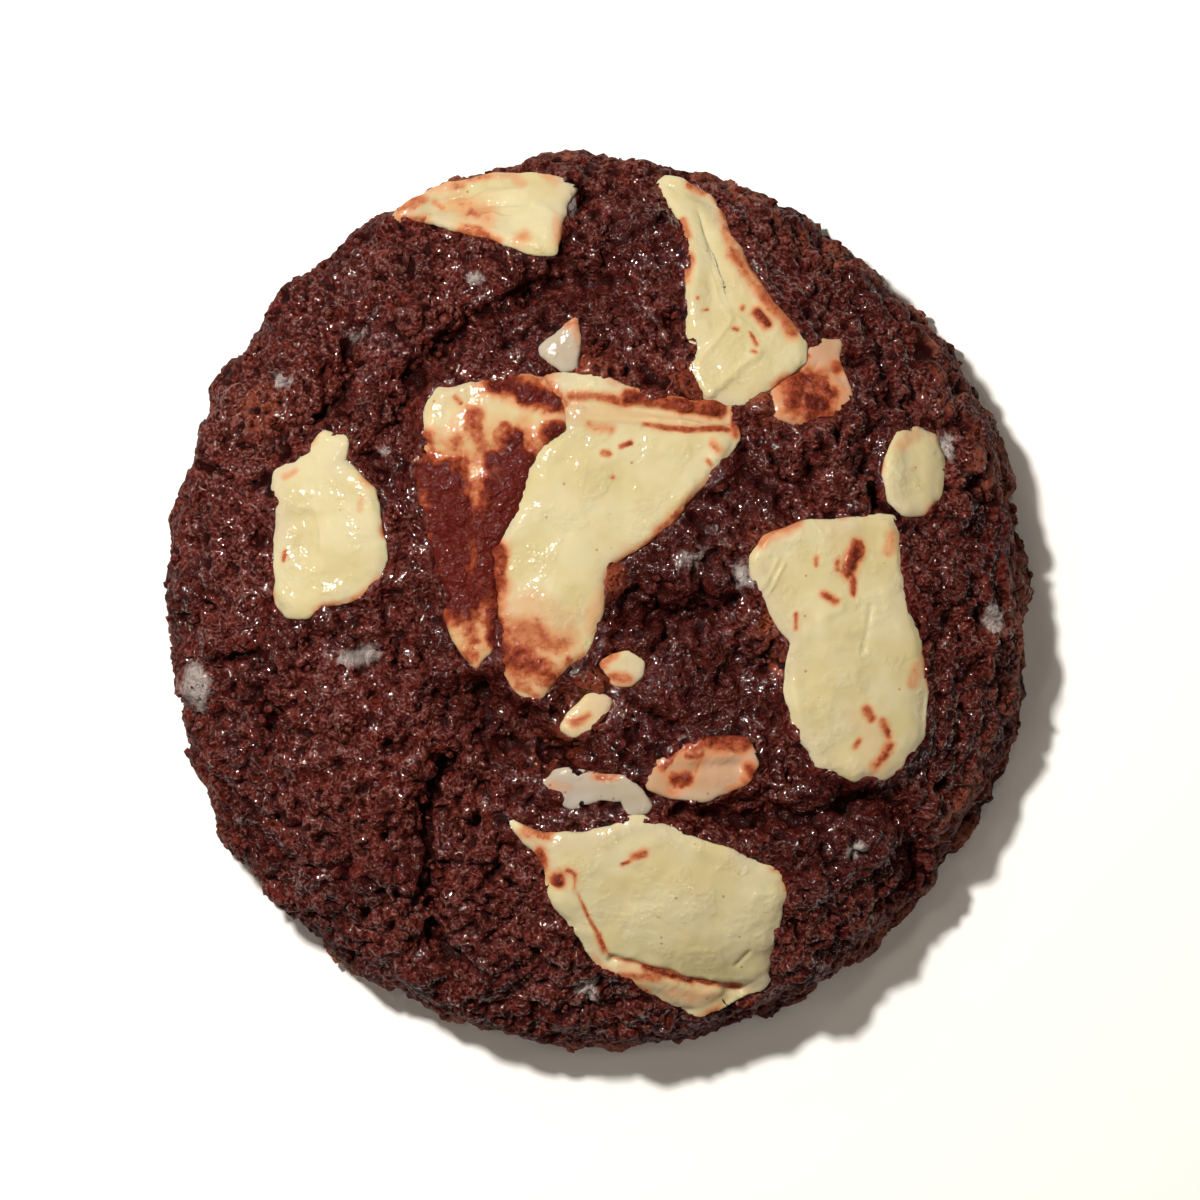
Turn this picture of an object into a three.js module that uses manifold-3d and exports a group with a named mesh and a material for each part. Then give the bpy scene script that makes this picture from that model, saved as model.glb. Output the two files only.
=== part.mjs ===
// A thick, round red velvet cookie with broken pieces of white chocolate baked into its top.
// Millimetres, +Z up. The origin is the middle of the flat base, and +Y is the side with the two
// pieces that reach the rim. Each piece of chocolate is a solid of its own, sunk in a pocket of the dough.

import * as THREE from "three";
import { mergeVertices } from "three/addons/utils/BufferGeometryUtils.js";
import { ImprovedNoise } from "three/addons/math/ImprovedNoise.js";
import Module from "manifold-3d";

// Driving sizes
const RADIUS = 44; // mean radius of the wall
const HEIGHT = 20; // base to the middle of the top
const FACET = 1.92; // length of a triangle's side on the dough
const GAP = 0.3; // between a piece of chocolate and the dough or its neighbour
const CHUNK_DEPTH = 5; // how far a piece reaches down into the dough

// The wall's outline departs from a circle by a few slow waves: size, times round, and where each peaks.
const OUTLINE_WAVES = [
  { size: -0.018, times: 2, peak: 0 },
  { size: -0.008, times: 2, peak: Math.PI / 4 },
  { size: -0.008, times: 1, peak: Math.PI / 4 },
  { size: -0.008, times: 3, peak: Math.PI / 4 },
  { size: 0.004, times: 1, peak: -Math.PI / 4 },
  { size: 0.004, times: 3, peak: -Math.PI / 4 },
];

// Half of the cookie's section, from the middle of the top, over the shoulder and down the wall.
// It ends under the base, and the base plane then cuts it flat.
const BELOW_BASE = 1.2;
const SECTION = new THREE.SplineCurve(
  [
    [0, 1],
    [0.34, 0.992],
    [0.62, 0.945],
    [0.8, 0.84],
    [0.915, 0.68],
    [0.972, 0.5],
    [0.988, 0.33],
    [0.982, 0.2],
    [0.985, 0.1],
    [0.972, 0],
    [0.94, -BELOW_BASE / HEIGHT],
  ].map(([r, z]) => new THREE.Vector2(r * RADIUS, z * HEIGHT)),
);
const WALL_TOP = 0.33 * HEIGHT; // where the section is widest, under the shoulder

// The foot that spread on the baking sheet: a thin lip with a groove over it, widest on the +X side
const FOOT = { height: 1.6, spread: 1.5, least: 0.3, most: 1.7, widest: -0.1 };
const GROOVE = { height: 4.4, spread: 1.2, depth: 0.6 };

// Relief of the dough: each layer of noise has a grain and a height. Folded layers make round lumps
// with sharp creases between them.
const SWELL = { grain: 15, height: 0.9 };
const LUMPS = { grain: 6.2, height: 2.1 };
const CRAGS = { grain: 3.1, height: 1.1 };

// Cracks and folds: the line that each follows over the top, its depth and its width
const CRACKS = [
  { path: [[-3.5, 32.3], [-8, 30.6], [-12.5, 28.3], [-18.4, 22.4], [-20, 18]], depth: 2.2, width: 1.8 },
  { path: [[-25.2, 25.5], [-25.6, 20.8], [-27.6, 17.8]], depth: 2.4, width: 1.9 },
  { path: [[-15.6, -16.2], [-16.9, -19.8], [-17.4, -29.5], [-16.2, -34]], depth: 2.8, width: 1.8 },
  { path: [[-11.6, -9.4], [-10.4, -13.6], [-5.6, -14.9], [-2, -17]], depth: 2.2, width: 2 },
  { path: [[3.4, -1], [7.8, -1.4], [12, -0.8]], depth: 2, width: 1.8 },
  { path: [[8, -20.8], [14.5, -21.8], [21, -21.6], [27.2, -19]], depth: 1.8, width: 1.7 },
  { path: [[27, -18.8], [29.7, -20.6], [30.9, -23.8], [32, -27.5]], depth: 2.4, width: 1.8 },
  { path: [[-34.8, -8.6], [-32.8, -12.2]], depth: 1.4, width: 1.7 },
  { path: [[-4.6, 33.6], [-1, 32.2], [2.6, 31.4]], depth: 1.6, width: 1.7 },
  { path: [[28.2, 24.5], [28.7, 19.5]], depth: 1.4, width: 1.7 },
  { path: [[26.6, 14.4], [28, 10]], depth: 1.4, width: 1.7 },
];

// Low places and humps: middle, radius and height
const SWELLS = [
  { at: [2, 28.5], radius: 6, height: -0.8 },
  { at: [9, 3.4], radius: 3.6, height: 1.1 },
  { at: [7, -7.5], radius: 6, height: 0.5 },
  { at: [-22, -20], radius: 6.5, height: 1.1 },
  { at: [-19.8, -31.3], radius: 3.6, height: 1.2 },
  { at: [-20, 30], radius: 6, height: 0.7 },
  { at: [-5, -13], radius: 4, height: -0.9 },
  { at: [4, 37], radius: 4.5, height: 0.7 },
  { at: [23, -26], radius: 4.5, height: 0.9 },
];

// The pieces of chocolate. outline runs round the part that shows, spine is the line along its middle, rise
// is how far it stands over the dough, and creases are the folds and broken edges on its face.
const CHUNKS = [
  {
    name: "chunk_front",
    outline: [[-9.4, -21.8], [-5.5, -23.5], [-1, -23.3], [4.3, -21.5], [6.5, -22.6], [11, -24.3], [15.5, -26],
      [18.3, -27.2], [18.6, -29.5], [17.3, -33.5], [17, -35], [17.5, -37.3], [16.3, -38.9], [13.6, -39.8],
      [10, -41.6], [6.3, -39.9], [4.4, -38.9], [0, -36.5], [-2.5, -32.8], [-5.2, -29.4], [-5.3, -26.6],
      [-7.3, -24]],
    spine: [[-3, -25.4], [4, -28.6], [9, -33]],
    rise: 0.9,
    creases: [{ path: [[-1.2, -31], [1, -35.8], [7.5, -37.4], [14, -38.6]], depth: 0.7, width: 0.8 }],
  },
  {
    name: "chunk_right",
    outline: [[15, 4.3], [16.4, 6.2], [19.7, 7.5], [24, 7.8], [29.2, 8.4], [29.8, 4.7], [30.2, 1.7],
      [31.7, -4], [32.6, -9.3], [32, -14], [30.6, -16.2], [28.2, -17.8], [26.7, -17.4], [25.3, -17.9],
      [24.1, -17.3], [21.7, -16.7], [21, -15], [19.7, -13.3], [18.5, -9], [19, -4.3], [18, -2.7],
      [15.8, 1.3]],
    spine: [[20, 4], [24.4, 2], [25.6, -11.5]],
    rise: 1,
    creases: [{ path: [[17, 1], [19.4, 4.6]], depth: 0.4, width: 0.7 }],
  },
  {
    name: "chunk_long",
    outline: [[5.4, 42], [8.2, 42.1], [10.2, 40.9], [12, 39], [13.6, 35.6], [14.9, 33], [17.6, 29.2],
      [20.4, 25.8], [20.4, 23.9], [17, 21.4], [14.4, 19.8], [12.4, 19.4], [10.4, 20.4], [8.8, 22.6],
      [9.2, 25], [8.8, 29], [8.7, 35.2], [7.6, 38.8]],
    spine: [[9.2, 39.5], [11.2, 34], [12.6, 28], [14, 23.6]],
    rise: 1,
    creases: [{ path: [[9.4, 24.4], [13, 26.4], [15, 30]], depth: 0.5, width: 1.4 }],
  },
  {
    name: "chunk_centre",
    outline: [[-5.4, 22.1], [-1.5, 22.6], [2, 21.3], [5, 20.3], [10, 19.6], [13.2, 18.9], [13.8, 16.2],
      [11.3, 13], [8.7, 9.7], [5.3, 6.3], [1.7, 3.9], [0.1, 1.6], [0.2, -1.3], [-1.7, -5.3], [-3.3, -6.5],
      [-6.3, -9.8], [-8.6, -8.6], [-9.7, -6], [-9.5, -3], [-10.2, 1], [-10.6, 4.9], [-8, 8.7], [-7, 13],
      [-5.6, 15.4], [-3.4, 16.6], [-3.7, 20.2]],
    spine: [[6.5, 15.6], [1, 12.5], [-3.4, 6], [-6, -3.4]],
    rise: 1.1,
    creases: [
      { path: [[-2, 20.2], [3, 19.2], [8, 17.8], [13.4, 17]], depth: 0.8, width: 0.7 },
      { path: [[-1, 16.6], [-4, 9], [-3, 2]], depth: -0.3, width: 2 },
    ],
  },
  {
    name: "chunk_centre_left",
    outline: [[-17.2, 18.5], [-16.2, 21], [-12.5, 21.6], [-8, 22.2], [-5, 21.6], [-3.4, 19.6], [-3, 17.5],
      [-5.6, 15.4], [-7.2, 12.5], [-8.4, 8.6], [-10.6, 5.3], [-10.6, 0.5], [-11, -5], [-12.3, -7],
      [-14.2, -3.9], [-15.4, -1.6], [-14.6, 0.2], [-15.9, 2.6], [-16.9, 6.7], [-18, 12.5], [-17.3, 15.3]],
    spine: [[-8, 19], [-12.2, 16], [-13, 8], [-13, 0], [-12.6, -3.6]],
    rise: 0.9,
    creases: [{ path: [[-16.5, 14.6], [-12, 14.2], [-7.5, 15.4]], depth: 0.6, width: 0.9 }],
  },
  {
    name: "chunk_back",
    outline: [[-20.8, 38], [-18.5, 40.1], [-15.3, 41.6], [-11.2, 42.4], [-7.3, 42.7], [-4.3, 42.3],
      [-2.4, 41.2], [-3.5, 39.8], [-4.1, 36.8], [-4.6, 34.7], [-7.8, 35.1], [-12.2, 36.7], [-15.3, 37.3],
      [-17.6, 38.2]],
    spine: [[-15.5, 39.4], [-6.2, 38.6]],
    rise: 0.9,
    creases: [{ path: [[-16.5, 39.6], [-12.5, 38.6]], depth: 0.5, width: 1.2 }],
  },
  {
    name: "chunk_left",
    outline: [[-32.7, 11.2], [-32.3, 12.7], [-29.9, 14], [-27.5, 16.7], [-25.1, 16.1], [-25.8, 13.9],
      [-23.7, 11.9], [-22.6, 11], [-22.2, 8.7], [-21.5, 5.6], [-21.9, 2.3], [-24, 0.3], [-27.6, -0.6],
      [-29.3, -1.5], [-31.2, -1.8], [-32.2, -0.4], [-33, 3.9], [-32.2, 6.6], [-31.9, 9.9]],
    spine: [[-27.6, 12], [-27.2, 3]],
    rise: 0.9,
    creases: [
      { path: [[-29, 8.8], [-30, 3.4]], depth: 0.7, width: 1.1 },
      { path: [[-31, 1.2], [-29, 1.6]], depth: 0.5, width: 0.7 },
    ],
  },
  {
    name: "chunk_right_small",
    outline: [[28.4, 12.6], [29, 15.3], [29.9, 16.8], [31.7, 17.3], [33.5, 16.4], [34.3, 13.6], [33.8, 10.4],
      [32.3, 8.8], [30.3, 8.7], [29, 9.8]],
    spine: [[31.2, 11.6], [31.6, 14.4]],
    rise: 0.6,
    creases: [],
  },
  {
    name: "chunk_pink_front",
    outline: [[4.8, -18.6], [5.7, -16.3], [7, -15], [9, -14.3], [11.5, -13.8], [14.4, -14], [15.8, -16.4],
      [14.6, -18.2], [12, -19], [10.2, -19.9], [7, -19.6]],
    spine: [[8, -17.6], [12.8, -16.2]],
    rise: 0.7,
    creases: [],
  },
  {
    name: "chunk_pink_back",
    outline: [[21.1, 24.9], [22.2, 25.9], [24, 25.8], [23.7, 23.4], [25, 20.4], [24, 19], [22, 18],
      [19.6, 17.4], [17.4, 18.4], [17.2, 20.6], [19.2, 22.2]],
    spine: [[22.4, 23.4], [20.8, 20.4]],
    rise: 0.5,
    creases: [{ path: [[20, 22.6], [24, 22.4]], depth: 0.4, width: 0.8 }],
  },
  {
    name: "chunk_sliver",
    outline: [[-2.4, 28.1], [-2.1, 25.5], [-2.4, 22.9], [-3.8, 22.9], [-5.8, 24.8], [-4.6, 26.4]],
    spine: [[-3.3, 25.8], [-3.6, 24.4]],
    rise: 0.5,
    creases: [],
  },
  {
    name: "bit_middle",
    outline: [[0.1, -6.4], [1.1, -5.6], [2.8, -5.2], [4.2, -6.2], [4, -7.4], [3.1, -8.3], [1.4, -8.2]],
    spine: [[1.6, -6.7], [2.7, -6.8]],
    rise: 0.5,
    creases: [],
  },
  {
    name: "bit_low",
    outline: [[-3.8, -12.8], [-2.6, -11], [-1, -9.5], [0.9, -9.9], [0.4, -12], [-1.2, -13], [-2.7, -13.3]],
    spine: [[-2, -12.1], [-0.3, -11.1]],
    rise: 0.5,
    creases: [],
  },
  {
    name: "melted_ribbon",
    outline: [[-5.5, -18.2], [-4.4, -17.1], [0, -17.6], [2.3, -17.6], [4.2, -19], [5.2, -20.6], [4.6, -21.2],
      [3, -21.2], [2.4, -19.6], [0, -19.7], [-2.8, -20.5], [-4.2, -19.4]],
    spine: [[-4, -18.3], [0, -18.6], [2.4, -18.6], [3.9, -20.3]],
    rise: 0.3,
    creases: [],
  },
];

const MATERIALS = {
  dough: new THREE.MeshStandardMaterial({ color: 0x4a2320, roughness: 0.55, metalness: 0 }),
  chocolate: new THREE.MeshStandardMaterial({ color: 0xe2d3a0, roughness: 0.35, metalness: 0 }),
};

const noise = new ImprovedNoise();

function layer({ grain, height }, x, y, z) {
  return height * noise.noise(x / grain + 31.4, y / grain + 17.2, z / grain + 5.7);
}

// A layer folded at its middle, less the mean of the folded noise, so that it neither swells nor shrinks
function foldedLayer(size, x, y, z) {
  const foldedMean = 0.2;
  return Math.abs(layer(size, x, y, z)) - foldedMean * size.height;
}

function bump(distance, spread) {
  return Math.exp(-((distance / spread) ** 2));
}

// The nearest point of a broken line of [x, y] corners
function nearestOn(path, x, y) {
  let nearest = { distance: Infinity, x: 0, y: 0 };
  for (let i = 1; i < path.length; i++) {
    const [ax, ay] = path[i - 1];
    const [dx, dy] = [path[i][0] - ax, path[i][1] - ay];
    const along = THREE.MathUtils.clamp(((x - ax) * dx + (y - ay) * dy) / (dx * dx + dy * dy), 0, 1);
    const [nx, ny] = [ax + along * dx, ay + along * dy];
    const distance = Math.hypot(x - nx, y - ny);
    if (distance < nearest.distance) nearest = { distance, x: nx, y: ny };
  }
  return nearest;
}

function cutBy(lines, x, y) {
  return lines.reduce((sum, line) => {
    return sum + line.depth * bump(nearestOn(line.path, x, y).distance, line.width);
  }, 0);
}

// How far the foot reaches out in a direction
function footReach(angle) {
  return THREE.MathUtils.lerp(FOOT.least, FOOT.most, 0.5 + 0.5 * Math.cos(angle - FOOT.widest));
}

// The wall's radius in a direction, as a share of the mean: the foot fills the rest of the outline.
function wallShare(angle) {
  const outline = OUTLINE_WAVES.reduce((share, wave) => {
    return share + wave.size * Math.cos(wave.times * (angle - wave.peak));
  }, 1);
  return outline - footReach(angle) / RADIUS;
}

// The height of the smooth dome over a point of the plan
const SECTION_POINTS = SECTION.getSpacedPoints(240).filter((p) => p.y >= WALL_TOP);
function domeHeight(x, y) {
  const reach = Math.hypot(x, y) / wallShare(Math.atan2(y, x));
  const next = SECTION_POINTS.findIndex((p) => p.x >= reach);
  if (next === 0) return HEIGHT;
  if (next < 0) return WALL_TOP;
  const [a, b] = [SECTION_POINTS[next - 1], SECTION_POINTS[next]];
  return THREE.MathUtils.mapLinear(reach, a.x, b.x, a.y, b.y);
}

// How far the dough stands out from the smooth form, along the outward direction
function doughRelief(x, y, z) {
  const reach = footReach(Math.atan2(y, x));
  const foot = reach * (1 + 0.8 * noise.noise(x / 6, y / 6, 2)) * bump(z - FOOT.height, FOOT.spread);
  const groove = GROOVE.depth * (reach / FOOT.most) * bump(z - GROOVE.height, GROOVE.spread);
  const onTop = THREE.MathUtils.smoothstep(z, 0.45 * HEIGHT, 0.7 * HEIGHT);
  const humps = SWELLS.reduce((sum, swell) => {
    return sum + swell.height * bump(Math.hypot(x - swell.at[0], y - swell.at[1]), swell.radius);
  }, 0);
  const calm = THREE.MathUtils.lerp(0.45, 1, THREE.MathUtils.smoothstep(z, 1, 0.4 * HEIGHT));
  const grain = layer(SWELL, x, y, z) + foldedLayer(LUMPS, x, y, z) + foldedLayer(CRAGS, x, y, z);
  return foot - groove + calm * grain + onTop * (humps - cutBy(CRACKS, x, y));
}

// Joins two rings of points, numbered from firstA and firstB, with a band of triangles
function stitch(indices, firstA, countA, firstB, countB) {
  let [a, b] = [0, 0];
  while (a < countA || b < countB) {
    const [cornerA, cornerB] = [firstA + (a % countA), firstB + (b % countB)];
    if (b >= countB || (a < countA && (a + 1) / countA <= (b + 1) / countB)) {
      indices.push(cornerA, cornerB, firstA + ((a + 1) % countA));
      a++;
    } else {
      indices.push(cornerA, cornerB, firstB + ((b + 1) % countB));
      b++;
    }
  }
}

function geometryOf(positions, indices) {
  return new THREE.BufferGeometry()
    .setAttribute("position", new THREE.Float32BufferAttribute(positions, 3))
    .setIndex(indices);
}

// The dough before its base is cut and its pockets are opened: rings of points down the section,
// as many in each as its girth needs, closed by one point at the top and one under the base
function doughGeometry() {
  const rings = Math.round(SECTION.getLength() / (FACET * Math.sin(Math.PI / 3)));
  const positions = [0, 0, HEIGHT + doughRelief(0, 0, HEIGHT)];
  const indices = [];
  let [lastFirst, lastCount] = [0, 1];
  for (let ring = 1; ring <= rings; ring++) {
    const at = SECTION.getPointAt(ring / rings);
    const along = SECTION.getTangentAt(ring / rings);
    const count = Math.max(6, Math.round((2 * Math.PI * at.x) / FACET));
    const first = positions.length / 3;
    for (let i = 0; i < count; i++) {
      const angle = (2 * Math.PI * (i + (ring % 2) / 2)) / count;
      const reach = at.x * wallShare(angle);
      const [x, y] = [reach * Math.cos(angle), reach * Math.sin(angle)];
      const out = doughRelief(x, y, at.y);
      positions.push(
        x - along.y * out * Math.cos(angle),
        y - along.y * out * Math.sin(angle),
        at.y + along.x * out,
      );
    }
    stitch(indices, lastFirst, lastCount, first, count);
    [lastFirst, lastCount] = [first, count];
  }
  positions.push(0, 0, -BELOW_BASE);
  stitch(indices, lastFirst, lastCount, positions.length / 3 - 1, 1);
  return geometryOf(positions, dropSlivers(indices));
}

// The bands next to a single point hold triangles with that point twice.
function dropSlivers(indices) {
  const kept = [];
  for (let i = 0; i < indices.length; i += 3) {
    const [a, b, c] = indices.slice(i, i + 3);
    if (a !== b && b !== c && c !== a) kept.push(a, b, c);
  }
  return kept;
}

// Points round an outline, turning left: its corners, slightly rounded, and as many points between two
// corners as their distance needs
const RIM_SPACING = 1.7;
const RIM_TENSION = 0.3;
function rimOf(outline) {
  const corners = outline.map(([x, y]) => new THREE.Vector3(x, y, 0));
  if (THREE.ShapeUtils.isClockWise(corners)) corners.reverse();
  const curve = new THREE.CatmullRomCurve3(corners, true, "catmullrom", RIM_TENSION);
  return corners.flatMap((corner, i) => {
    const side = corner.distanceTo(corners[(i + 1) % corners.length]);
    const splits = Math.max(1, Math.round(side / RIM_SPACING));
    return Array.from({ length: splits }, (_, k) => curve.getPoint((i + k / splits) / corners.length));
  });
}

// The rim's points moved outwards, further at a sharp corner so that its sides move by grow
function grownRim(rim, grow) {
  return rim.map((p, i) => {
    const before = sideOf(rim.at(i - 1), p);
    const after = sideOf(p, rim[(i + 1) % rim.length]);
    const miter = grow / Math.max(0.35, 1 + before.dot(after));
    return new THREE.Vector2(p.x, p.y).addScaledVector(before.add(after), miter);
  });
}

// The unit vector to the right of the way from a to b
function sideOf(a, b) {
  return new THREE.Vector2(b.y - a.y, a.x - b.x).normalize();
}

// A piece's rings, from the middle of its face over its edge and down to its underside: how far each is
// drawn in to the spine, how high it stands, as a share of the rise, and how deep, as a share of the depth
const CHUNK_RINGS = [
  { inward: 0.8, rise: 1, depth: 0, face: 1 },
  { inward: 0.42, rise: 0.96, depth: 0, face: 1 },
  { inward: 0.12, rise: 0.88, depth: 0, face: 1 },
  { inward: 0, rise: 0.45, depth: 0, face: 0 },
  { inward: 0.22, rise: 0, depth: 1, face: 0 },
];
const CHUNK_LOWEST = 0.58 * HEIGHT; // no edge of a face hangs lower down the wall than this

// A piece of chocolate. With a grow it is the pocket that the piece lies in: wider and deeper by that
// much, and open to the sky.
function chunkGeometry({ outline, spine, rise, creases }, grow = 0) {
  const rim = rimOf(outline);
  const middles = rim.map((p) => nearestOn(spine, p.x, p.y));
  const skyward = grow > 0 ? HEIGHT : 0;
  const ringPoints = CHUNK_RINGS.map((ring) =>
    grownRim(rim, grow).map((p, i) => {
      const { x, y } = p.lerp(middles[i], ring.inward);
      const bed = Math.max(domeHeight(x, y), CHUNK_LOWEST);
      const uneven = 0.35 * noise.noise(x / 4, y / 4, 9) - cutBy(creases, x, y) + skyward;
      return [x, y, bed + ring.rise * rise + ring.face * uneven - ring.depth * (CHUNK_DEPTH + grow)];
    }),
  );
  const positions = ringPoints.flat(2);
  const indices = [];
  const count = rim.length;
  for (let ring = 1; ring < ringPoints.length; ring++) {
    stitch(indices, (ring - 1) * count, count, ring * count, count);
  }
  // Both ends are filled as for the piece itself, so that its underside and the pocket's floor keep apart.
  const drawnIn = (ring) => rim.map((p, i) => new THREE.Vector2(p.x, p.y).lerp(middles[i], ring.inward));
  for (const [a, b, c] of THREE.ShapeUtils.triangulateShape(drawnIn(CHUNK_RINGS[0]), [])) {
    indices.push(a, b, c);
  }
  const last = (CHUNK_RINGS.length - 1) * count;
  for (const [a, b, c] of THREE.ShapeUtils.triangulateShape(drawnIn(CHUNK_RINGS.at(-1)), [])) {
    indices.push(last + a, last + c, last + b);
  }
  return geometryOf(positions, indices);
}

const wasm = await Module();
wasm.setup();

function solidOf(geometry) {
  const bare = geometry.index ? geometry.toNonIndexed() : geometry.clone();
  bare.deleteAttribute("normal");
  bare.deleteAttribute("uv");
  const merged = mergeVertices(bare, 1e-4);
  return new wasm.Manifold(
    new wasm.Mesh({
      numProp: 3,
      vertProperties: merged.attributes.position.array,
      triVerts: new Uint32Array(merged.index.array),
    }),
  );
}

function meshOf(name, solid, material) {
  const { vertProperties, triVerts } = solid.getMesh();
  const geometry = geometryOf(Array.from(vertProperties), Array.from(triVerts));
  geometry.computeVertexNormals();
  const mesh = new THREE.Mesh(geometry, material);
  mesh.name = name;
  return mesh;
}

function underBase() {
  const depth = 4 * BELOW_BASE;
  const box = new THREE.BoxGeometry(3 * RADIUS, 3 * RADIUS, depth);
  return solidOf(box.translate(0, 0, -depth / 2));
}

function cookie() {
  const group = new THREE.Group();
  let dough = solidOf(doughGeometry()).subtract(underBase());
  const pockets = [];
  for (const chunk of CHUNKS) {
    const pocket = solidOf(chunkGeometry(chunk, GAP));
    const solid = pockets.reduce((rest, other) => rest.subtract(other), solidOf(chunkGeometry(chunk)));
    group.add(meshOf(chunk.name, solid, MATERIALS.chocolate));
    dough = dough.subtract(pocket);
    pockets.push(pocket);
  }
  group.add(meshOf("cookie", dough, MATERIALS.dough));
  return group;
}

export default cookie();
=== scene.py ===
"""A red velvet cookie with broken pieces of white chocolate, on a pale floor, seen from straight above."""
import math

import bmesh
import bpy
import numpy as np
from bpy.props import FloatProperty, FloatVectorProperty, IntProperty, PointerProperty
from mathutils import Euler, Matrix, Vector, noise
from mathutils.bvhtree import BVHTree
from mathutils.kdtree import KDTree


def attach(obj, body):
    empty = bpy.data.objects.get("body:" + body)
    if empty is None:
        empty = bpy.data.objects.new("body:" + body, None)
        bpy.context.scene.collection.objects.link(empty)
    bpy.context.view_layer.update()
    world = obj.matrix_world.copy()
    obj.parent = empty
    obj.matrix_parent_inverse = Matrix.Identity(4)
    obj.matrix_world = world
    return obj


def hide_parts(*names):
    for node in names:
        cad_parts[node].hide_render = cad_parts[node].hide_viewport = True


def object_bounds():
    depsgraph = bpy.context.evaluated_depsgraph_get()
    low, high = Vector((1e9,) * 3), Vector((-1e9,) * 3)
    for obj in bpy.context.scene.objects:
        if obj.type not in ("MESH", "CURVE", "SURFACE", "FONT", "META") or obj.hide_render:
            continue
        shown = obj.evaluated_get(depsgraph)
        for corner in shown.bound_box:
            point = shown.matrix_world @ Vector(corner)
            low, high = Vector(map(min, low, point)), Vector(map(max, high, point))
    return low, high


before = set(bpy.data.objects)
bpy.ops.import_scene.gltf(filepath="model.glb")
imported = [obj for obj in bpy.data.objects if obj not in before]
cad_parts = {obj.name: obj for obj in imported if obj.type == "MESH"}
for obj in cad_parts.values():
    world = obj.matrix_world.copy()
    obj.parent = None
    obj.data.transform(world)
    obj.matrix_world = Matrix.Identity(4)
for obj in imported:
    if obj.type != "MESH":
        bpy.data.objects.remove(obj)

bl_info = {
    "name": "Red Velvet Cookie",
    "version": (1, 0, 0),
    "blender": (4, 5, 0),
    "location": "3D View > Sidebar > Cookie",
    "description": "Bakes a red velvet cookie with white chocolate around its packed solids",
    "category": "Add Mesh",
}

MM = 0.001
CAD_LOW, CAD_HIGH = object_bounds()
TOP = CAD_HIGH.z / MM
SWIRL_SEED = 11  # noise with a direction differs from run to run unless its seed is set
PLUG_SINK = 1.3  # the dough under a piece of chocolate lies this much lower than the piece
PLUG_GROW = 0.4  # and reaches this much further sideways
PLUG_REACH = 0.9 * CAD_HIGH.y / MM
CRACK_FILL = 0.5  # the solid's cracks are broad, so that the crumb fills this share of them beside the line
CRACK_DEEPER = 1.25  # the dressed cracks are this many times as deep as drawn

# The shares of the crumb's forms in its relief
THREADS, ROUGHNESS, CRAGS, TEARS, PORES = 0.4, 0.6, 1.8, 1.5, 0.9

# Heights between which the browned foot, the same brown higher up on the wall that faces right, and the films
# of chocolate with the painted highlights among them fade
FOOT_FADE = (3.0, 9.0)
RIGHT_FADE = (11.0, 18.0)
FILM_FADE = (3.0, 8.0)

# The dough swells most in this direction, in degrees round from +X, and over this half width
SWELL_SIDE = 25
SWELL_SPREAD = 20

SWIRLS = ((2.6, 0.85), (1.0, 0.3))  # grain and reach of the swirls that bend the crumb's lumps
PLAN_CELL = 0.25  # side of the squares in which the pieces are looked up from above
EVENING = 60  # passes that even out the chocolate's faces
LAP_ABOVE = 0.22  # the dough that laps over chocolate lies this much above its face
LAP_BELOW = 0.7  # and the dough under it lies this much below
FLOOR_SIZE = 3.0
VIEW_LEVEL = 0.7 * CAD_HIGH.z  # the camera's distance is measured from this height

HOLLOW_SHADE = 0.4  # the painted shade in the hollows is this share of the soaked crumb's colour
PALER = (1.08, 1.12, 1.28)  # clouds in the chocolate are paler than its cream by these factors

# All that is drawn on the cookie below is in millimetres from the middle of the base, as in the solids.

# Cracks and folds of the dough: the line over the top, the depth and the half width
CRACKS = [
    ([(-3.5, 32.3), (-8, 30.6), (-12.5, 28.3), (-15.5, 25.8), (-18.4, 22.4), (-20, 18)], 1.2, 0.8),
    ([(-25.2, 25.5), (-25.6, 20.8), (-27.6, 17.8)], 1.6, 0.9),
    (
        [(-15.6, -16.2), (-16.9, -19.8), (-17.1, -25.5), (-17.4, -29.5), (-16.2, -34), (-14.6, -36.5)],
        2.6,
        0.8,
    ),
    ([(-11.6, -9.4), (-10.4, -13.6), (-5.6, -14.9), (-2, -17)], 1.2, 1.0),
    ([(3.4, -1), (7.8, -1.4), (12, -0.8)], 1.4, 0.9),
    ([(8, -20.8), (14.5, -21.8), (21, -21.6), (27.2, -19)], 1.2, 0.8),
    ([(27, -18.8), (29.7, -20.6), (30.9, -23.8), (32, -27.5)], 1.8, 0.9),
    ([(-34.8, -8.6), (-33.8, -10), (-32.6, -12.6)], 1.2, 0.7),
    ([(-4.6, 33.6), (-1, 32.2), (2.6, 31.4)], 1.0, 0.8),
    ([(28.2, 24.5), (28.7, 19.5)], 1.2, 0.7),
    ([(26.6, 14.4), (28, 10)], 1.2, 0.7),
]

# Where fat has soaked the dough, so that it is dark and shines: middle, radius and strength
WET_PATCHES = [
    ((6, 1), 9, 1.0),
    ((12, 11), 8, 0.9),
    ((0, -13), 10, 1.0),
    ((-9, -12), 6, 0.8),
    ((-12, 4), 8, 0.7),
    ((-20, 12), 5, 0.6),
    ((12, -10), 7, 0.9),
    ((24, -22), 9, 0.9),
    ((34, -16), 6, 0.7),
    ((19, 28), 6, 0.5),
    ((-2, 30), 8, 0.6),
    ((5, 36), 5, 0.7),
    ((27, 21), 6, 0.5),
]

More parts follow.
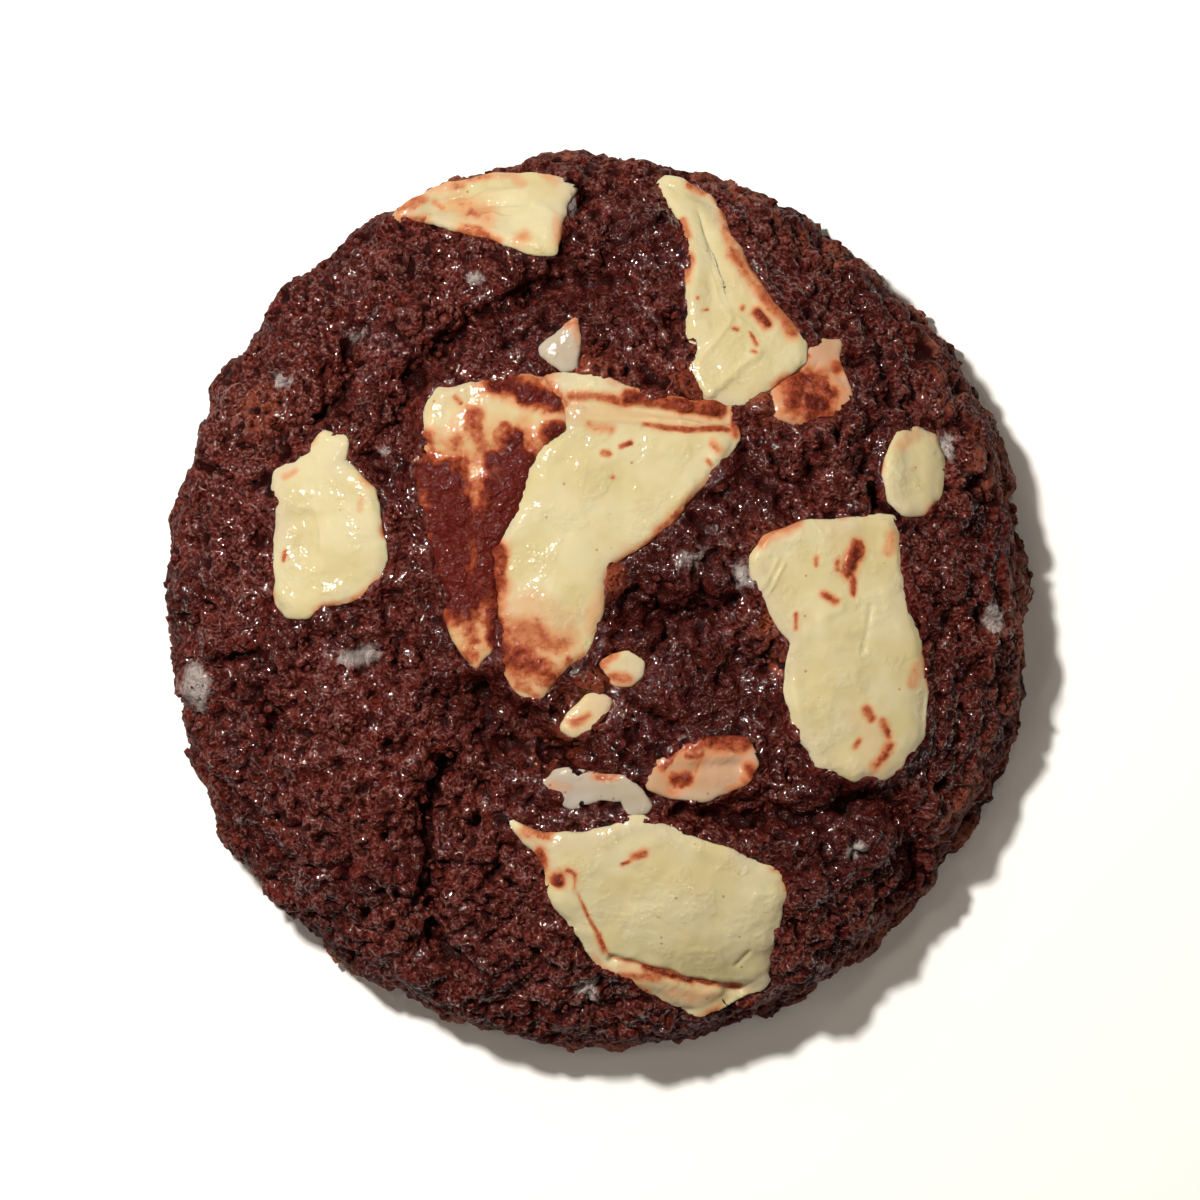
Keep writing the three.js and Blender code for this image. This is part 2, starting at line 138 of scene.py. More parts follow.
# Where the dough is thin over chocolate and glows orange-red: middle, radius and strength
BLUSHES = [
    ((17.2, -2.6), 1.5, 1.0),
    ((18.0, -7.0), 1.3, 0.8),
    ((16.4, 6.2), 1.2, 0.7),
    ((-0.6, -9.6), 2.4, 0.7),
    ((-4.5, -14.6), 2.2, 0.6),
    ((-17.6, 13.4), 1.4, 0.8),
    ((0.8, 2.6), 1.6, 0.8),
    ((17.4, 21.0), 2.6, 0.8),
    ((-1.2, 22.4), 2.0, 0.8),
    ((-34, 19), 2.5, 0.5),
    ((9, 21.4), 2.4, 0.5),
]

# Chocolate that melted into the surface and left grey-white films, and in the last five, the weaker ones,
# partly painted highlight where the wet crumb shone: middle, half sizes, turn in degrees and strength
SMEARS_AND_SHINE = [
    ((-24, -5.6), (2.8, 1.3), 20, 1.0),
    ((39.2, -1.7), (1.1, 2.4), 0, 1.0),
    ((-40.0, -8.5), (1.2, 3.2), 8, 1.0),
    ((25.5, -24.9), (1.0, 1.1), 0, 1.0),
    ((-1.4, -38.8), (1.6, 1.4), 0, 1.0),
    ((-32, 22), (1.5, 1.0), -20, 1.0),
    ((34.7, 15.2), (0.9, 1.9), 20, 1.0),
    ((-2.9, 39.8), (0.6, 1.2), 0, 1.0),
    ((37.5, 19.8), (0.9, 2.2), 30, 1.0),
    ((31.5, 28), (1.0, 2.0), 40, 1.0),
    ((-41.4, -13.6), (0.7, 1.6), 10, 1.0),
    # These five are partly painted highlight, pale patches where the wet crumb shone
    ((9.2, 4.2), (2.2, 1.6), 30, 0.7),
    ((14.2, 2.4), (1.6, 2.2), 20, 0.75),
    ((-12.4, 32.2), (1.6, 1.0), -20, 0.7),
    ((-24.6, 26.2), (1.4, 1.2), 0, 0.7),
    ((-21.4, 14.8), (1.0, 0.9), 0, 0.75),
]

# Where the dough has stained the pieces of chocolate, by node: a line, its half width and its strength. 0.25
# is a tint, 0.6 breaks up into red crumbs, 0.8 covers and 1 is the dough's own red.
STAINS = {
    "chunk_front": [
        ([(-2.2, -29.2), (-1.2, -31.6), (0, -33.6), (1.2, -35.8)], 0.16, 0.85),
        ([(-0.1, -33.4), (0.4, -34.8)], 0.3, 0.85),
        ([(1.4, -35.8), (4, -36.5), (6, -37.2), (9.6, -38.2), (14, -38.9)], 0.2, 0.85),
        ([(4.4, -36.7), (6, -37.2), (9.2, -38.1)], 0.42, 1.0),
        ([(2, -37.3), (6, -37.7)], 0.4, 0.72),
        ([(2.2, -36.6), (8, -38.2)], 0.9, 0.38),
        ([(7, -39), (11, -39.6)], 0.9, 0.42),
        ([(-4.2, -27.6), (-4.0, -28)], 0.62, 1.15),
        ([(-3.2, -26.8), (-2.4, -27.2), (-2.5, -28.6)], 0.3, 0.78),
        ([(-3.2, -27.6), (-2.8, -27.9)], 0.9, 0.4),
        ([(-5.9, -25), (-5.4, -26.8)], 0.5, 0.9),
        ([(3.4, -25.5), (4.4, -25.2)], 0.4, 0.85),
        ([(2.2, -26.3), (2.9, -26)], 0.2, 0.8),
        ([(3.4, -25.6), (4.6, -25.4)], 0.9, 0.3),
    ],
    "chunk_right": [
        ([(25.6, 5.4), (25, 3.6), (24.7, 2.8)], 0.62, 1.0),
        ([(25.1, 2.6), (25.2, 0.6)], 0.3, 0.85),
        ([(24, 5.6), (28.6, 6.4)], 1.9, 0.24),
        ([(21.5, 4.2), (21.5, 3.4)], 0.22, 0.8),
        ([(23.6, 3.8), (23.6, 3)], 0.25, 0.75),
        ([(22.4, 0.5), (23.4, -0.1)], 0.34, 0.85),
        ([(19.5, -1.4), (19.5, -2.8)], 0.24, 0.8),
        ([(19.2, -2), (20.8, -1.6)], 0.8, 0.22),
        ([(28.8, 6.4), (28.6, 4.8)], 0.45, 0.62),
        ([(16, 5.6), (17.6, 6.8), (19.6, 7.7)], 0.5, 0.62),
        ([(26.6, -10.8), (27, -11.6)], 0.48, 0.88),
        ([(28.2, -12), (28.8, -13.6)], 0.45, 0.85),
        ([(28.9, -14.4), (27.4, -16.4)], 0.5, 0.92),
        ([(25.8, -14), (25.4, -14.6)], 0.3, 0.75),
        ([(26.4, -11.4), (27.4, -16)], 2.0, 0.27),
        ([(31.3, -6.4), (31, -8.4)], 0.35, 0.55),
    ],
    "chunk_long": [
        ([(8.9, 41.5), (10.2, 40.8)], 0.4, 0.75),
        ([(11.9, 39), (13.3, 34.4)], 0.42, 0.66),
        ([(13.3, 34.4), (15, 31.7), (17.3, 29), (19.1, 26.6)], 0.6, 0.76),
        ([(13.4, 32.6), (16.8, 28.8)], 1.5, 0.3),
        ([(15.5, 28.6), (16.5, 27.4)], 0.48, 1.0),
        ([(13.2, 26.9), (13.7, 26.8)], 0.2, 0.8),
        ([(14.9, 26.5), (15.5, 25.3)], 0.2, 0.8),
        ([(15.2, 24.7), (15.4, 24.6)], 0.2, 0.75),
        ([(14.2, 29.1), (14.2, 29)], 0.22, 0.85),
        ([(9.7, 30.1), (9.7, 30)], 0.22, 0.85),
        ([(10.2, 28.8), (10.7, 28.9)], 0.2, 0.7),
        ([(8.6, 33.4), (8.8, 31.8)], 0.4, 0.6),
    ],
    "chunk_centre": [
        ([(-2.9, 20.3), (0.4, 20.1), (2.9, 19.6)], 0.42, 0.78),
        ([(2.9, 20.2), (7, 19.5), (11.9, 18.8)], 0.55, 1.0),
        ([(-3.2, 18.8), (2, 18.2), (12.6, 17.9)], 1.2, 0.36),
        ([(-1, 17.4), (1.2, 16.9)], 0.5, 0.6),
        ([(4.3, 17.4), (8.4, 16.8), (13.1, 16.9)], 0.2, 0.85),
        ([(13.3, 19.1), (13.4, 16.4)], 0.3, 0.9),
        ([(2.1, 15.3), (3, 15.6)], 0.22, 0.85),
        ([(0.3, 14.6), (0.8, 14.5)], 0.26, 0.72),
        ([(1.2, 12.2), (1.25, 12.2)], 0.24, 0.85),
        ([(11.1, 15.5), (11.7, 14.9)], 0.4, 0.72),
        ([(10.7, 13.9), (10.9, 13.6)], 0.24, 0.75),
        ([(-2.4, 11), (0.2, 10.2)], 0.9, 0.2),
        ([(13, 13.8), (6.6, 7.7), (3.1, 4.1)], 0.45, 0.75),
        ([(2.9, 4.3), (0, 0.8), (-0.9, -2.6)], 0.8, 0.46),
        ([(-8.4, -0.4), (-3.6, -1.6)], 1.7, 0.36),
        ([(-8.6, -3.4), (-4.2, -4.6)], 1.6, 0.7),
        ([(-8, -5.8), (-5.2, -7.2)], 1.5, 0.92),
        ([(-10.2, 4.6), (-10.2, 0), (-9.6, -6)], 0.9, 0.98),
        ([(-6.4, -9.4), (-8, -8.4)], 0.5, 0.75),
        ([(-4.2, -7.2), (-3.2, -5.8)], 0.6, 0.8),
    ],
    "chunk_centre_left": [
        ([(-15.6, 11.8), (-15, 6), (-13.4, 1)], 3.0, 1.35),
        ([(-8.6, 12.6), (-9.6, 9), (-11.4, 3)], 2.8, 1.35),
        ([(-11.2, 1), (-10.6, -4.6)], 0.7, 1.1),
        ([(-13.6, 0), (-14.4, -1.6)], 0.6, 1.0),
        ([(-13.4, -1.4), (-12.6, -5.4)], 1.1, 0.85),
        ([(-10.4, 21.6), (-7, 20.6), (-4.4, 19.8)], 1.0, 1.2),
        ([(-4.2, 17), (-5.2, 16.4)], 0.8, 1.15),
        ([(-12.6, 18), (-11.8, 15.2)], 1.1, 0.85),
        ([(-13.6, 17.4), (-10.8, 17)], 1.6, 0.46),
        ([(-16.9, 16.4), (-16.6, 14.6)], 0.6, 0.85),
        ([(-14.4, 20.2), (-13.9, 19.6)], 0.24, 0.8),
        ([(-16.8, 19), (-8, 19)], 2.2, 0.26),
        ([(-12, -1.8), (-11.6, -5)], 0.5, 0.62),
    ],
    "chunk_back": [
        ([(-13.8, 39.4), (-12, 38.6)], 1.3, 0.58),
        ([(-12.8, 38.8), (-12.2, 38.4)], 0.5, 0.7),
        ([(-16.6, 39.9), (-15.7, 39.2)], 0.4, 0.62),
        ([(-17, 41.2), (-13, 42.4)], 0.6, 0.55),
        ([(-8.4, 42.2), (-7.6, 41.6)], 0.4, 0.5),
        ([(-8.2, 36), (-7.6, 36.2)], 0.6, 0.55),
        ([(-5.6, 42.8), (-4.4, 41.6)], 0.5, 0.5),
    ],
    "chunk_left": [
        ([(-31.3, 4.8), (-31.5, 3.9)], 0.22, 0.78),
        ([(-31.4, 12.2), (-30.4, 12.8)], 0.3, 0.5),
        ([(-23.7, 10.2), (-23.9, 9)], 0.3, 0.4),
    ],
    "chunk_right_small": [([(30, 15.4), (31.4, 16.6)], 0.7, 0.42), ([(31, 13), (31.2, 13)], 0.3, 0.4)],
    "chunk_pink_front": [
        ([(7.2, -14.9), (9.2, -14.2), (12, -13.9), (14.4, -13.9)], 0.9, 1.0),
        ([(8.8, -15.4), (9.6, -15.6)], 0.6, 0.9),
        ([(7.6, -15.2), (6.2, -16.8)], 0.35, 0.85),
        ([(10.2, -15.2), (9.4, -17.4)], 0.3, 0.75),
        ([(7.4, -17.8), (8.6, -17.6)], 0.7, 0.95),
        ([(14.8, -16.6), (15.2, -17.6)], 0.5, 0.9),
    ],
    "chunk_pink_back": [
        ([(20.2, 22.2), (22, 21.8), (22.8, 20.6)], 0.9, 1.05),
        ([(21, 19.8), (22.4, 19.2)], 1.1, 1.15),
        ([(19.2, 21.2), (19.6, 19.4)], 1.2, 1.0),
        ([(20.6, 18.6), (23, 18.8)], 0.8, 1.0),
        ([(23.2, 23.6), (23.6, 22.8)], 0.5, 0.85),
        ([(20.4, 24.1), (20.8, 24.2)], 0.25, 0.8),
    ],
    "chunk_sliver": [],
    "bit_middle": [([(1.2, -7.6), (2.8, -7.8)], 0.4, 0.7), ([(2, -8.6), (3, -9)], 0.8, 0.3)],
    "bit_low": [([(-2.6, -12.2), (-1.2, -11.4)], 0.4, 0.7)],
    "melted_ribbon": [([(-4.6, -18.4), (-3, -18.6)], 0.4, 0.4)],
}

# Creases of the pieces: a line, its half width and its depth. A negative depth is a ridge.
GROOVES = {
    "chunk_front": [
        ([(1.4, -35.8), (6, -37.2), (9.6, -38.2), (14, -38.9)], 0.45, 0.6),
        ([(-2.2, -29.2), (0, -33.6), (1.2, -35.8)], 0.25, 0.2),
        ([(13.6, -36.4), (14.8, -35)], 0.25, 0.2),
    ],
    "chunk_right": [
        ([(27, -0.6), (26.2, -5)], 0.25, 0.15),
        ([(18.3, 3.6), (16.8, 0.6)], 0.2, -0.14),
        ([(17.6, 4), (16.2, 1.2)], 0.2, -0.12),
        ([(22, -2), (24, -0.8)], 0.4, -0.1),
    ],
    "chunk_long": [
        ([(11, 20.7), (13.4, 22.6), (15.8, 24.7)], 0.4, -0.22),
        ([(9.8, 23.6), (11.4, 25.6), (13.1, 28)], 0.3, -0.12),
    ],
    "chunk_centre": [
        ([(-2.8, 19.6), (0.4, 19.4), (6, 18.8), (12.6, 18.3)], 0.45, 0.3),
        ([(4.3, 17.1), (8.4, 16.5), (13, 16.6)], 0.3, 0.2),
        ([(-1, 18), (5, 17.7), (12, 17.4)], 0.4, -0.18),
    ],
    "chunk_centre_left": [([(-16.5, 14.6), (-12, 14.2), (-7.5, 15.4)], 1.0, 0.25)],
    "chunk_back": [
        ([(-16.5, 39.8), (-12.5, 38.8), (-9.5, 39.4)], 1.1, 0.2),
        ([(-6.6, 39.4), (-4.4, 38.2)], 0.4, -0.15),
    ],
    "chunk_left": [
        ([(-29.2, 8), (-29.4, 4.6)], 1.1, 0.45),
        ([(-27.9, 8.6), (-27.6, 3)], 0.7, -0.12),
    ],
    "chunk_pink_front": [([(7.4, -18.4), (10, -16.6), (13.8, -16.4)], 0.6, 0.3)],
    "chunk_pink_back": [([(20, 22.6), (24, 22.4)], 0.5, 0.3)],
}

# How strongly a whole piece is tinted
FILMS = {
    "chunk_pink_front": 0.2,
    "chunk_pink_back": 0.26,
    "chunk_sliver": 0.05,
    "bit_middle": 0.16,
    "bit_low": 0.26,
    "melted_ribbon": 0.06,
}

PIECES = tuple(STAINS)
GREY_PIECES = ("chunk_sliver", "melted_ribbon")
PINK_PIECES = ("chunk_pink_front", "chunk_pink_back")


# -------- sizes and colours


def colour(name, description, default):
    """A colour that can be set."""
    return FloatVectorProperty(name=name, description=description, subtype="COLOR", size=3, default=default)


def millimetres(name, description, default, least=0.0):
    """A size in the unit that the relief is worked out in."""
    return FloatProperty(name=name, description=description + ", in millimetres", default=default, min=least)


def metres(name, description, default):
    """A distance on the stage."""
    return FloatProperty(
        name=name, description=description, subtype="DISTANCE", unit="LENGTH", default=default, min=0.01
    )


def angle(name, description, degrees):
    """An angle on the stage."""
    return FloatProperty(
        name=name, description=description, subtype="ANGLE", unit="ROTATION", default=math.radians(degrees)
    )


def number(name, description, default):
    """A whole number."""
    return IntProperty(name=name, description=description, default=default, min=0)


def power(name, description, default):
    """The strength of a light."""
    return FloatProperty(name=name, description=description, default=default, min=0.0)


class DoughSettings(bpy.types.PropertyGroup):
    """The baked dough"""

    cell: millimetres("Mesh Cell", "Side of the mesh's squares", 0.385, 0.2)
    lump: millimetres("Lump", "Width of a lump of crumb", 2.0, 0.5)
    relief: millimetres("Relief", "Height of the lumps", 0.85)
    swell: millimetres("Swell", "How far the crumb stands out of the solid's wall", 0.95)
    lap: millimetres("Lap", "How far the dough creeps over the chocolate at most", 1.1)
    lit: colour("Crumb", "Colour of the dry crumb", (0.048, 0.0056, 0.0036))
    red: colour("Red Crumb", "Colour where the dough is thin and fresh", (0.088, 0.0105, 0.0064))
    glow: colour("Glow", "Colour where chocolate shines through the dough", (0.26, 0.05, 0.018))
    # Partly the crests' own pinker tone and partly painted highlight standing in for glints
    crest_highlight: colour("Crest", "Colour of the finest crests", (0.19, 0.062, 0.046))
    deep: colour("Soaked Crumb", "Colour where fat has soaked in", (0.031, 0.0024, 0.0017))
    rim: colour("Baked Rim", "Colour of the foot that browned", (0.22, 0.062, 0.032))
    # Also the colour of the painted highlights that are drawn as films
    smear_and_shine: colour("Smear", "Colour of the melted films", (0.34, 0.30, 0.28))


class CrumbSettings(bpy.types.PropertyGroup):
    """Loose and half loose grains of crumb"""

    count: number("Grains", "How many grains are drawn", 8600)
    radius: millimetres("Grain", "Mean radius of a grain", 0.34, 0.1)
    seed: number("Seed", "Which scatter is drawn", 7)


class ChocolateSettings(bpy.types.PropertyGroup):
    """The pieces of white chocolate"""

    cell: millimetres("Mesh Cell", "Side of the mesh's squares", 0.2, 0.15)
    grow: millimetres("Fill", "How far a piece fills its pocket's gap", 0.35)
    cream: colour("Cream", "Colour of clean chocolate", (0.475, 0.402, 0.212))
    melted: colour("Melted", "Colour of the melted edges", (0.43, 0.36, 0.265))
    grey: colour("Grey", "Colour of the pieces that melted all through", (0.3354, 0.2808, 0.2067))
    pink: colour("Pink", "Colour of chocolate that took up red", (0.40, 0.245, 0.14))
    tint: colour("Tint", "Colour of a faint stain", (0.50, 0.18, 0.065))
    stain: colour("Stain", "Colour of a stain", (0.27, 0.05, 0.018))
    soaked: colour("Soaked", "Colour of a heavy stain", (0.082, 0.0075, 0.0045))


class StageSettings(bpy.types.PropertyGroup):
    """The floor, the lights and the camera"""

    view_width: metres("View Width", "Width of the picture at the cookie's top", 0.12)
    distance: metres("Camera Height", "Camera to the cookie", 1.0)
    key_height: angle("Key Height", "The key light's angle over the floor", 63)
    key_side: angle("Key Side", "The key light's direction, round from +X", 135)
    key_distance: metres("Key Distance", "Key light to the cookie", 0.5)
    key_power: power("Key Power", "Light of the key on the cookie, in watts per square metre", 4.2)
    key_colour: colour("Key Colour", "Colour of the key light", (1.0, 0.97, 0.92))
    lamps: number("Small Lamps", "How many small lamps stand round the cookie", 9)
    lamp_power: power("Lamp Power", "Strength of a small lamp", 0.11)
    lamp_colour: colour("Lamp Colour", "Colour of the small lamps", (1.0, 0.90, 0.78))
    fill_power: power("Fill", "Strength of the light from all round", 0.05)
    fill_colour: colour("Fill Colour", "Colour of the light from all round", (1.0, 0.84, 0.68))
    floor: colour("Floor", "Colour of the floor", (0.87, 0.86, 0.84))


# -------- meshes


def node_bmesh(node):
    """A CAD node's mesh as one closed skin, in millimetres."""
    bm = bmesh.new()
    bm.from_mesh(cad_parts[node].data)
    bmesh.ops.remove_doubles(bm, verts=bm.verts, dist=0.001 * MM)
    bmesh.ops.scale(bm, vec=(1 / MM,) * 3, verts=bm.verts)
    return bm


def add_object(name, bm):
    """Makes a bmesh into an object of the scene."""
    mesh = bpy.data.meshes.new(name)
    bm.to_mesh(mesh)
    bm.free()
    item = bpy.data.objects.new(name, mesh)
    bpy.context.scene.collection.objects.link(item)
    return item


def soften(bm, verts, passes, sideways=True):
    """Evens out a bmesh's vertices, a number of times."""
    for _ in range(passes):
        bmesh.ops.smooth_vert(
            bm, verts=verts, factor=0.5, use_axis_x=sideways, use_axis_y=sideways, use_axis_z=True
        )


def remeshed(bm, cell, passes):
    """The same form in squares of one size, softened."""
    rough = add_object("rough", bm)
    remesh = rough.modifiers.new("squares", "REMESH")
    remesh.mode = "VOXEL"
    remesh.voxel_size = cell
    evaluated = rough.evaluated_get(bpy.context.evaluated_depsgraph_get())
    fine = bmesh.new()
    fine.from_mesh(evaluated.to_mesh())
    evaluated.to_mesh_clear()
    bpy.data.meshes.remove(rough.data)
    soften(fine, fine.verts, passes)
    fine.normal_update()
    return fine


def coordinates(bm):
    """Places and normals of a bmesh's vertices as two arrays."""
    places = np.array([v.co[:] for v in bm.verts])
    normals = np.array([v.normal[:] for v in bm.verts])
    return places, normals


def place_all(bm, places):
    """Moves a bmesh's vertices to an array of places."""
    for vert, place in zip(bm.verts, places):
        vert.co = place
    bm.normal_update()


def add_piece(name, bm, material, node, masks):
    """Makes a bmesh in millimetres into a piece that stands for a CAD node."""
    bmesh.ops.scale(bm, vec=(MM,) * 3, verts=bm.verts)
    for face in bm.faces:
        face.smooth = True
    piece = add_object(name, bm)
    for label, array in masks.items():
        piece.data.attributes.new(label, "FLOAT", "POINT").data.foreach_set("value", array.astype(np.float32))
    piece.data.materials.append(material)
    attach(piece, "root")
    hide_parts(node)


# -------- patterns


def flat_tree(points):
    """A tree of points of the plan, for finding the nearest."""
    tree = KDTree(len(points))
    for i, (x, y, *_) in enumerate(points):
        tree.insert((x, y, 0), i)
    tree.balance()
    return tree


def line_distance(places, line):
    """Distance of each place from a broken line of (x, y) corners, seen from above."""
    flat = places[:, :2]
    nearest = np.full(len(flat), np.inf)
    for a, b in zip(line, line[1:]):
        a, b = np.array(a, float), np.array(b, float)
        along = np.clip((flat - a) @ (b - a) / ((b - a) @ (b - a)), 0, 1)
        nearest = np.minimum(nearest, np.linalg.norm(flat - a - along[:, None] * (b - a), axis=1))
    return nearest


def bell(distance, width):
    """1 at the middle, falling smoothly to nothing."""
    return np.exp(-((distance / width) ** 2))


def ramp(value, low, high):
    """0 below low and 1 above high, smooth between."""
    t = np.clip((value - low) / (high - low), 0, 1)
    return t * t * (3 - 2 * t)


def noise_at(places, grain, shift=0.0):
    """Smooth noise of a grain in millimetres, from about -1 to 1."""
    offset = Vector((shift, 3.1 * shift, -1.7 * shift))
    return np.array([noise.noise(Vector(p) / grain + offset) for p in places])


def rough_at(places, grain, shift=0.0):
    """Noise of four octaves, the widest of a grain in millimetres, from about -1 to 1."""
    offset = Vector((shift, -2.3 * shift, 1.9 * shift))
    return np.array([noise.fractal(Vector(p) / grain + offset, 0.75, 2.1, 4) for p in places])


def swirl_at(places, grain, shift=0.0):
    """A smooth noise with a direction, for bending a pattern."""
    noise.seed_set(SWIRL_SEED)
    offset = Vector((shift, shift, -shift))
    return np.array([noise.noise_vector(Vector(p) / grain + offset)[:] for p in places])


def cell_distance(places, width, shift=0.0):
    """Distance from the middle of the nearest of many random cells, in cells."""
    offset = Vector((shift, shift, shift))
    return np.array([noise.voronoi(Vector(p) / width + offset)[0][0] for p in places])


def lumps_at(places, width, shift=0.0):
    """Round lumps of crumb: 1 at a lump's top and 0 in the clefts between them."""
    return np.sqrt(np.clip(1 - (cell_distance(places, width, shift) / 0.95) ** 2, 0, 1))


def patches_at(places, patches):
    """The strongest of several round patches at each place."""
    strongest = np.zeros(len(places))
    for middle, radius, strength in patches:
        distance = np.linalg.norm(places[:, :2] - middle, axis=1)
        strongest = np.maximum(strongest, strength * bell(distance, radius))
    return strongest


# -------- relief of the dough


def dough_form(settings):
    """The dough's solid in squares of one size, its pockets filled to a little below the chocolate."""
    dough = node_bmesh("cookie")
    for node in PIECES:
        plug = node_bmesh(node)
        for vert in plug.verts:
            vert.co += Vector((PLUG_GROW * vert.normal.x, PLUG_GROW * vert.normal.y, -PLUG_SINK))
            reach = vert.co.xy.length
            if reach > PLUG_REACH:
                vert.co.xy *= PLUG_REACH / reach
        mesh = bpy.data.meshes.new("plug")
        plug.to_mesh(mesh)
        plug.free()
        dough.from_mesh(mesh)
        bpy.data.meshes.remove(mesh)
    return remeshed(dough, settings.cell, 1)


def close_base(bm):
    """Takes the squares of the flat base away and closes it with one face."""
    base = [f for f in bm.faces if f.normal.z < -0.9 and f.calc_center_median().z < 0.3]
    bmesh.ops.delete(bm, geom=base, context="FACES")
    bmesh.ops.delete(bm, geom=[v for v in bm.verts if not v.link_faces], context="VERTS")
    rim = [e for e in bm.edges if e.is_boundary]
    for vert in {v for e in rim for v in e.verts}:
        vert.co.z = 0.0
    bmesh.ops.holes_fill(bm, edges=rim)


def smears_and_shine_at(places):
    """How much of the melted films and painted highlights lies at each place."""
    film_and_shine = np.zeros(len(places))
    for middle, half, turn, strength in SMEARS_AND_SHINE:
        turned = (places[:, :2] - middle) @ np.array(Matrix.Rotation(math.radians(turn), 2))
        film_and_shine = np.maximum(film_and_shine, strength * bell(np.linalg.norm(turned / half, axis=1), 1.0))
    return film_and_shine * ramp(places[:, 2], *FILM_FADE)


def cracks_at(places):
    """How deep the cracks and folds are at each place."""
    wander = 0.8 * noise_at(places, 2.3, 11) + 0.4 * noise_at(places, 0.9, 12)
    deepest = np.zeros(len(places))
    for line, depth, width in CRACKS:
        distance = line_distance(places, line)
        fill = CRACK_FILL * depth * bell(distance, 2.2)
        deepest = np.maximum(deepest, depth * bell(distance + wander, width) - fill)
        deepest = np.where(distance < 2.5, np.minimum(deepest, depth), deepest)
    return deepest


def dough_relief(places, normals, settings):
    """How far the crumb stands out of the smooth dough, and the masks that its colours follow."""
    height = places[:, 2]
    wall = ramp(0.75 - normals[:, 2], 0, 0.5)
    on_top = ramp(height, 0.45 * TOP, 0.7 * TOP)
    above_base = ramp(height, 0.2, 1.6)
    wet = patches_at(places, WET_PATCHES) * on_top
    (wide, far), (narrow, near) = SWIRLS
    bent = places + far * swirl_at(places, wide) + near * swirl_at(places, narrow, 5)
    lumps = lumps_at(bent, settings.lump)
    threads = 1 - 2.6 * np.abs(noise_at(bent, 0.75 * settings.lump, 9))
    crags = np.abs(noise_at(bent, 2.0 * settings.lump, 5)) - 0.2
    crags = crags + 0.4 * noise_at(places, 3.0 * settings.lump, 6)
    torn = ramp(0.09 - np.abs(noise_at(bent, 1.5 * settings.lump, 13)), 0, 0.09)
    torn *= ramp(noise_at(places, 7.0, 14), -0.15, 0.25)
    pores = ramp(noise_at(bent, 0.65 * settings.lump, 17), 0.28, 0.5)
    crack = cracks_at(places) * on_top
    relief = (1 - 0.3 * wet) * (lumps - 0.6) + THREADS * (1 - 0.4 * wet) * (threads - 0.5)
    rough = rough_at(places, 1.3 * settings.lump, 7)
    relief += ROUGHNESS * rough + CRAGS * crags - TEARS * torn - PORES * pores
    # Painted shade: how much the colour is darkened in the clefts, tears, pores and cracks
    cleft_shade = 0.6 * (1 - lumps) + 0.3 * (1 - threads) + 0.7 * torn + 0.6 * pores + 0.9 * np.maximum(crack, 0)
    # The wall that faces right takes the foot's brown colour higher up
    right = wall * ramp(normals[:, 0] + 0.35 * normals[:, 1], 0.1, 0.6)
    masks = {
        "cleft_shade": np.clip(cleft_shade, 0, 1),
        "wet": wet,
        "smear_and_shine": smears_and_shine_at(places),
        "rim": np.maximum(1 - ramp(height, *FOOT_FADE), right * (1 - ramp(height, *RIGHT_FADE))),
        "wall": wall,
    }
    relief *= settings.relief * (1 - 0.35 * wall)
    direction = np.degrees(np.arctan2(places[:, 1], places[:, 0]))
    fuller = 1 + 1.1 * bell(direction - SWELL_SIDE, SWELL_SPREAD)
    return above_base * (relief + settings.swell * fuller * wall) - CRACK_DEEPER * crack, masks


def chocolate_skin():
    """All the chocolate as one tree for rays and distances, in millimetres."""
    verts, faces = [], []
    for node in PIECES:
        mesh = bpy.data.objects["white_" + node].data
        first = len(verts)
        verts.extend(v.co / MM for v in mesh.vertices)
        faces.extend([first + i for i in p.vertices] for p in mesh.polygons)
    return BVHTree.FromPolygons(verts, faces)


def height_of(skin, x, y):
    """How high the chocolate is over a point of the plan, or None beside it."""
    place = skin.ray_cast((x, y, 2 * TOP), (0, 0, -1))[0]
    return None if place is None else place.z


def outline_of(skin):
    """The chocolate's outlines seen from above: a tree of points, and the chocolate's height at each."""
    reach = np.arange(-1.05 * CAD_HIGH.y / MM, 1.05 * CAD_HIGH.y / MM, PLAN_CELL)
    heights = np.array([[height_of(skin, x, y) or 0.0 for y in reach] for x in reach])
    covered = heights > 0
    points, edges = [], []
    for across, down in ((1, 0), (0, 1)):
        for i, j in np.argwhere(covered != np.roll(covered, (across, down), (0, 1))):
            points.append((reach[i] - 0.5 * across * PLAN_CELL, reach[j] - 0.5 * down * PLAN_CELL))
            edges.append(max(heights[i, j], heights[i - across, j - down]))
    return flat_tree(points), edges


def over_chocolate(places, skin, outline, edges):
    """How far each place is inside the chocolate's outline, negative outside it, and the height of the
    chocolate: over the place, or else at the outline's nearest point."""
    inside = np.empty(len(places))
    face = np.empty(len(places))
    for i, (x, y, _) in enumerate(places):
        _, nearest, distance = outline.find((x, y, 0))
        height = height_of(skin, x, y)
        inside[i] = -distance if height is None else distance
        face[i] = edges[nearest] if height is None else height
    return inside, face


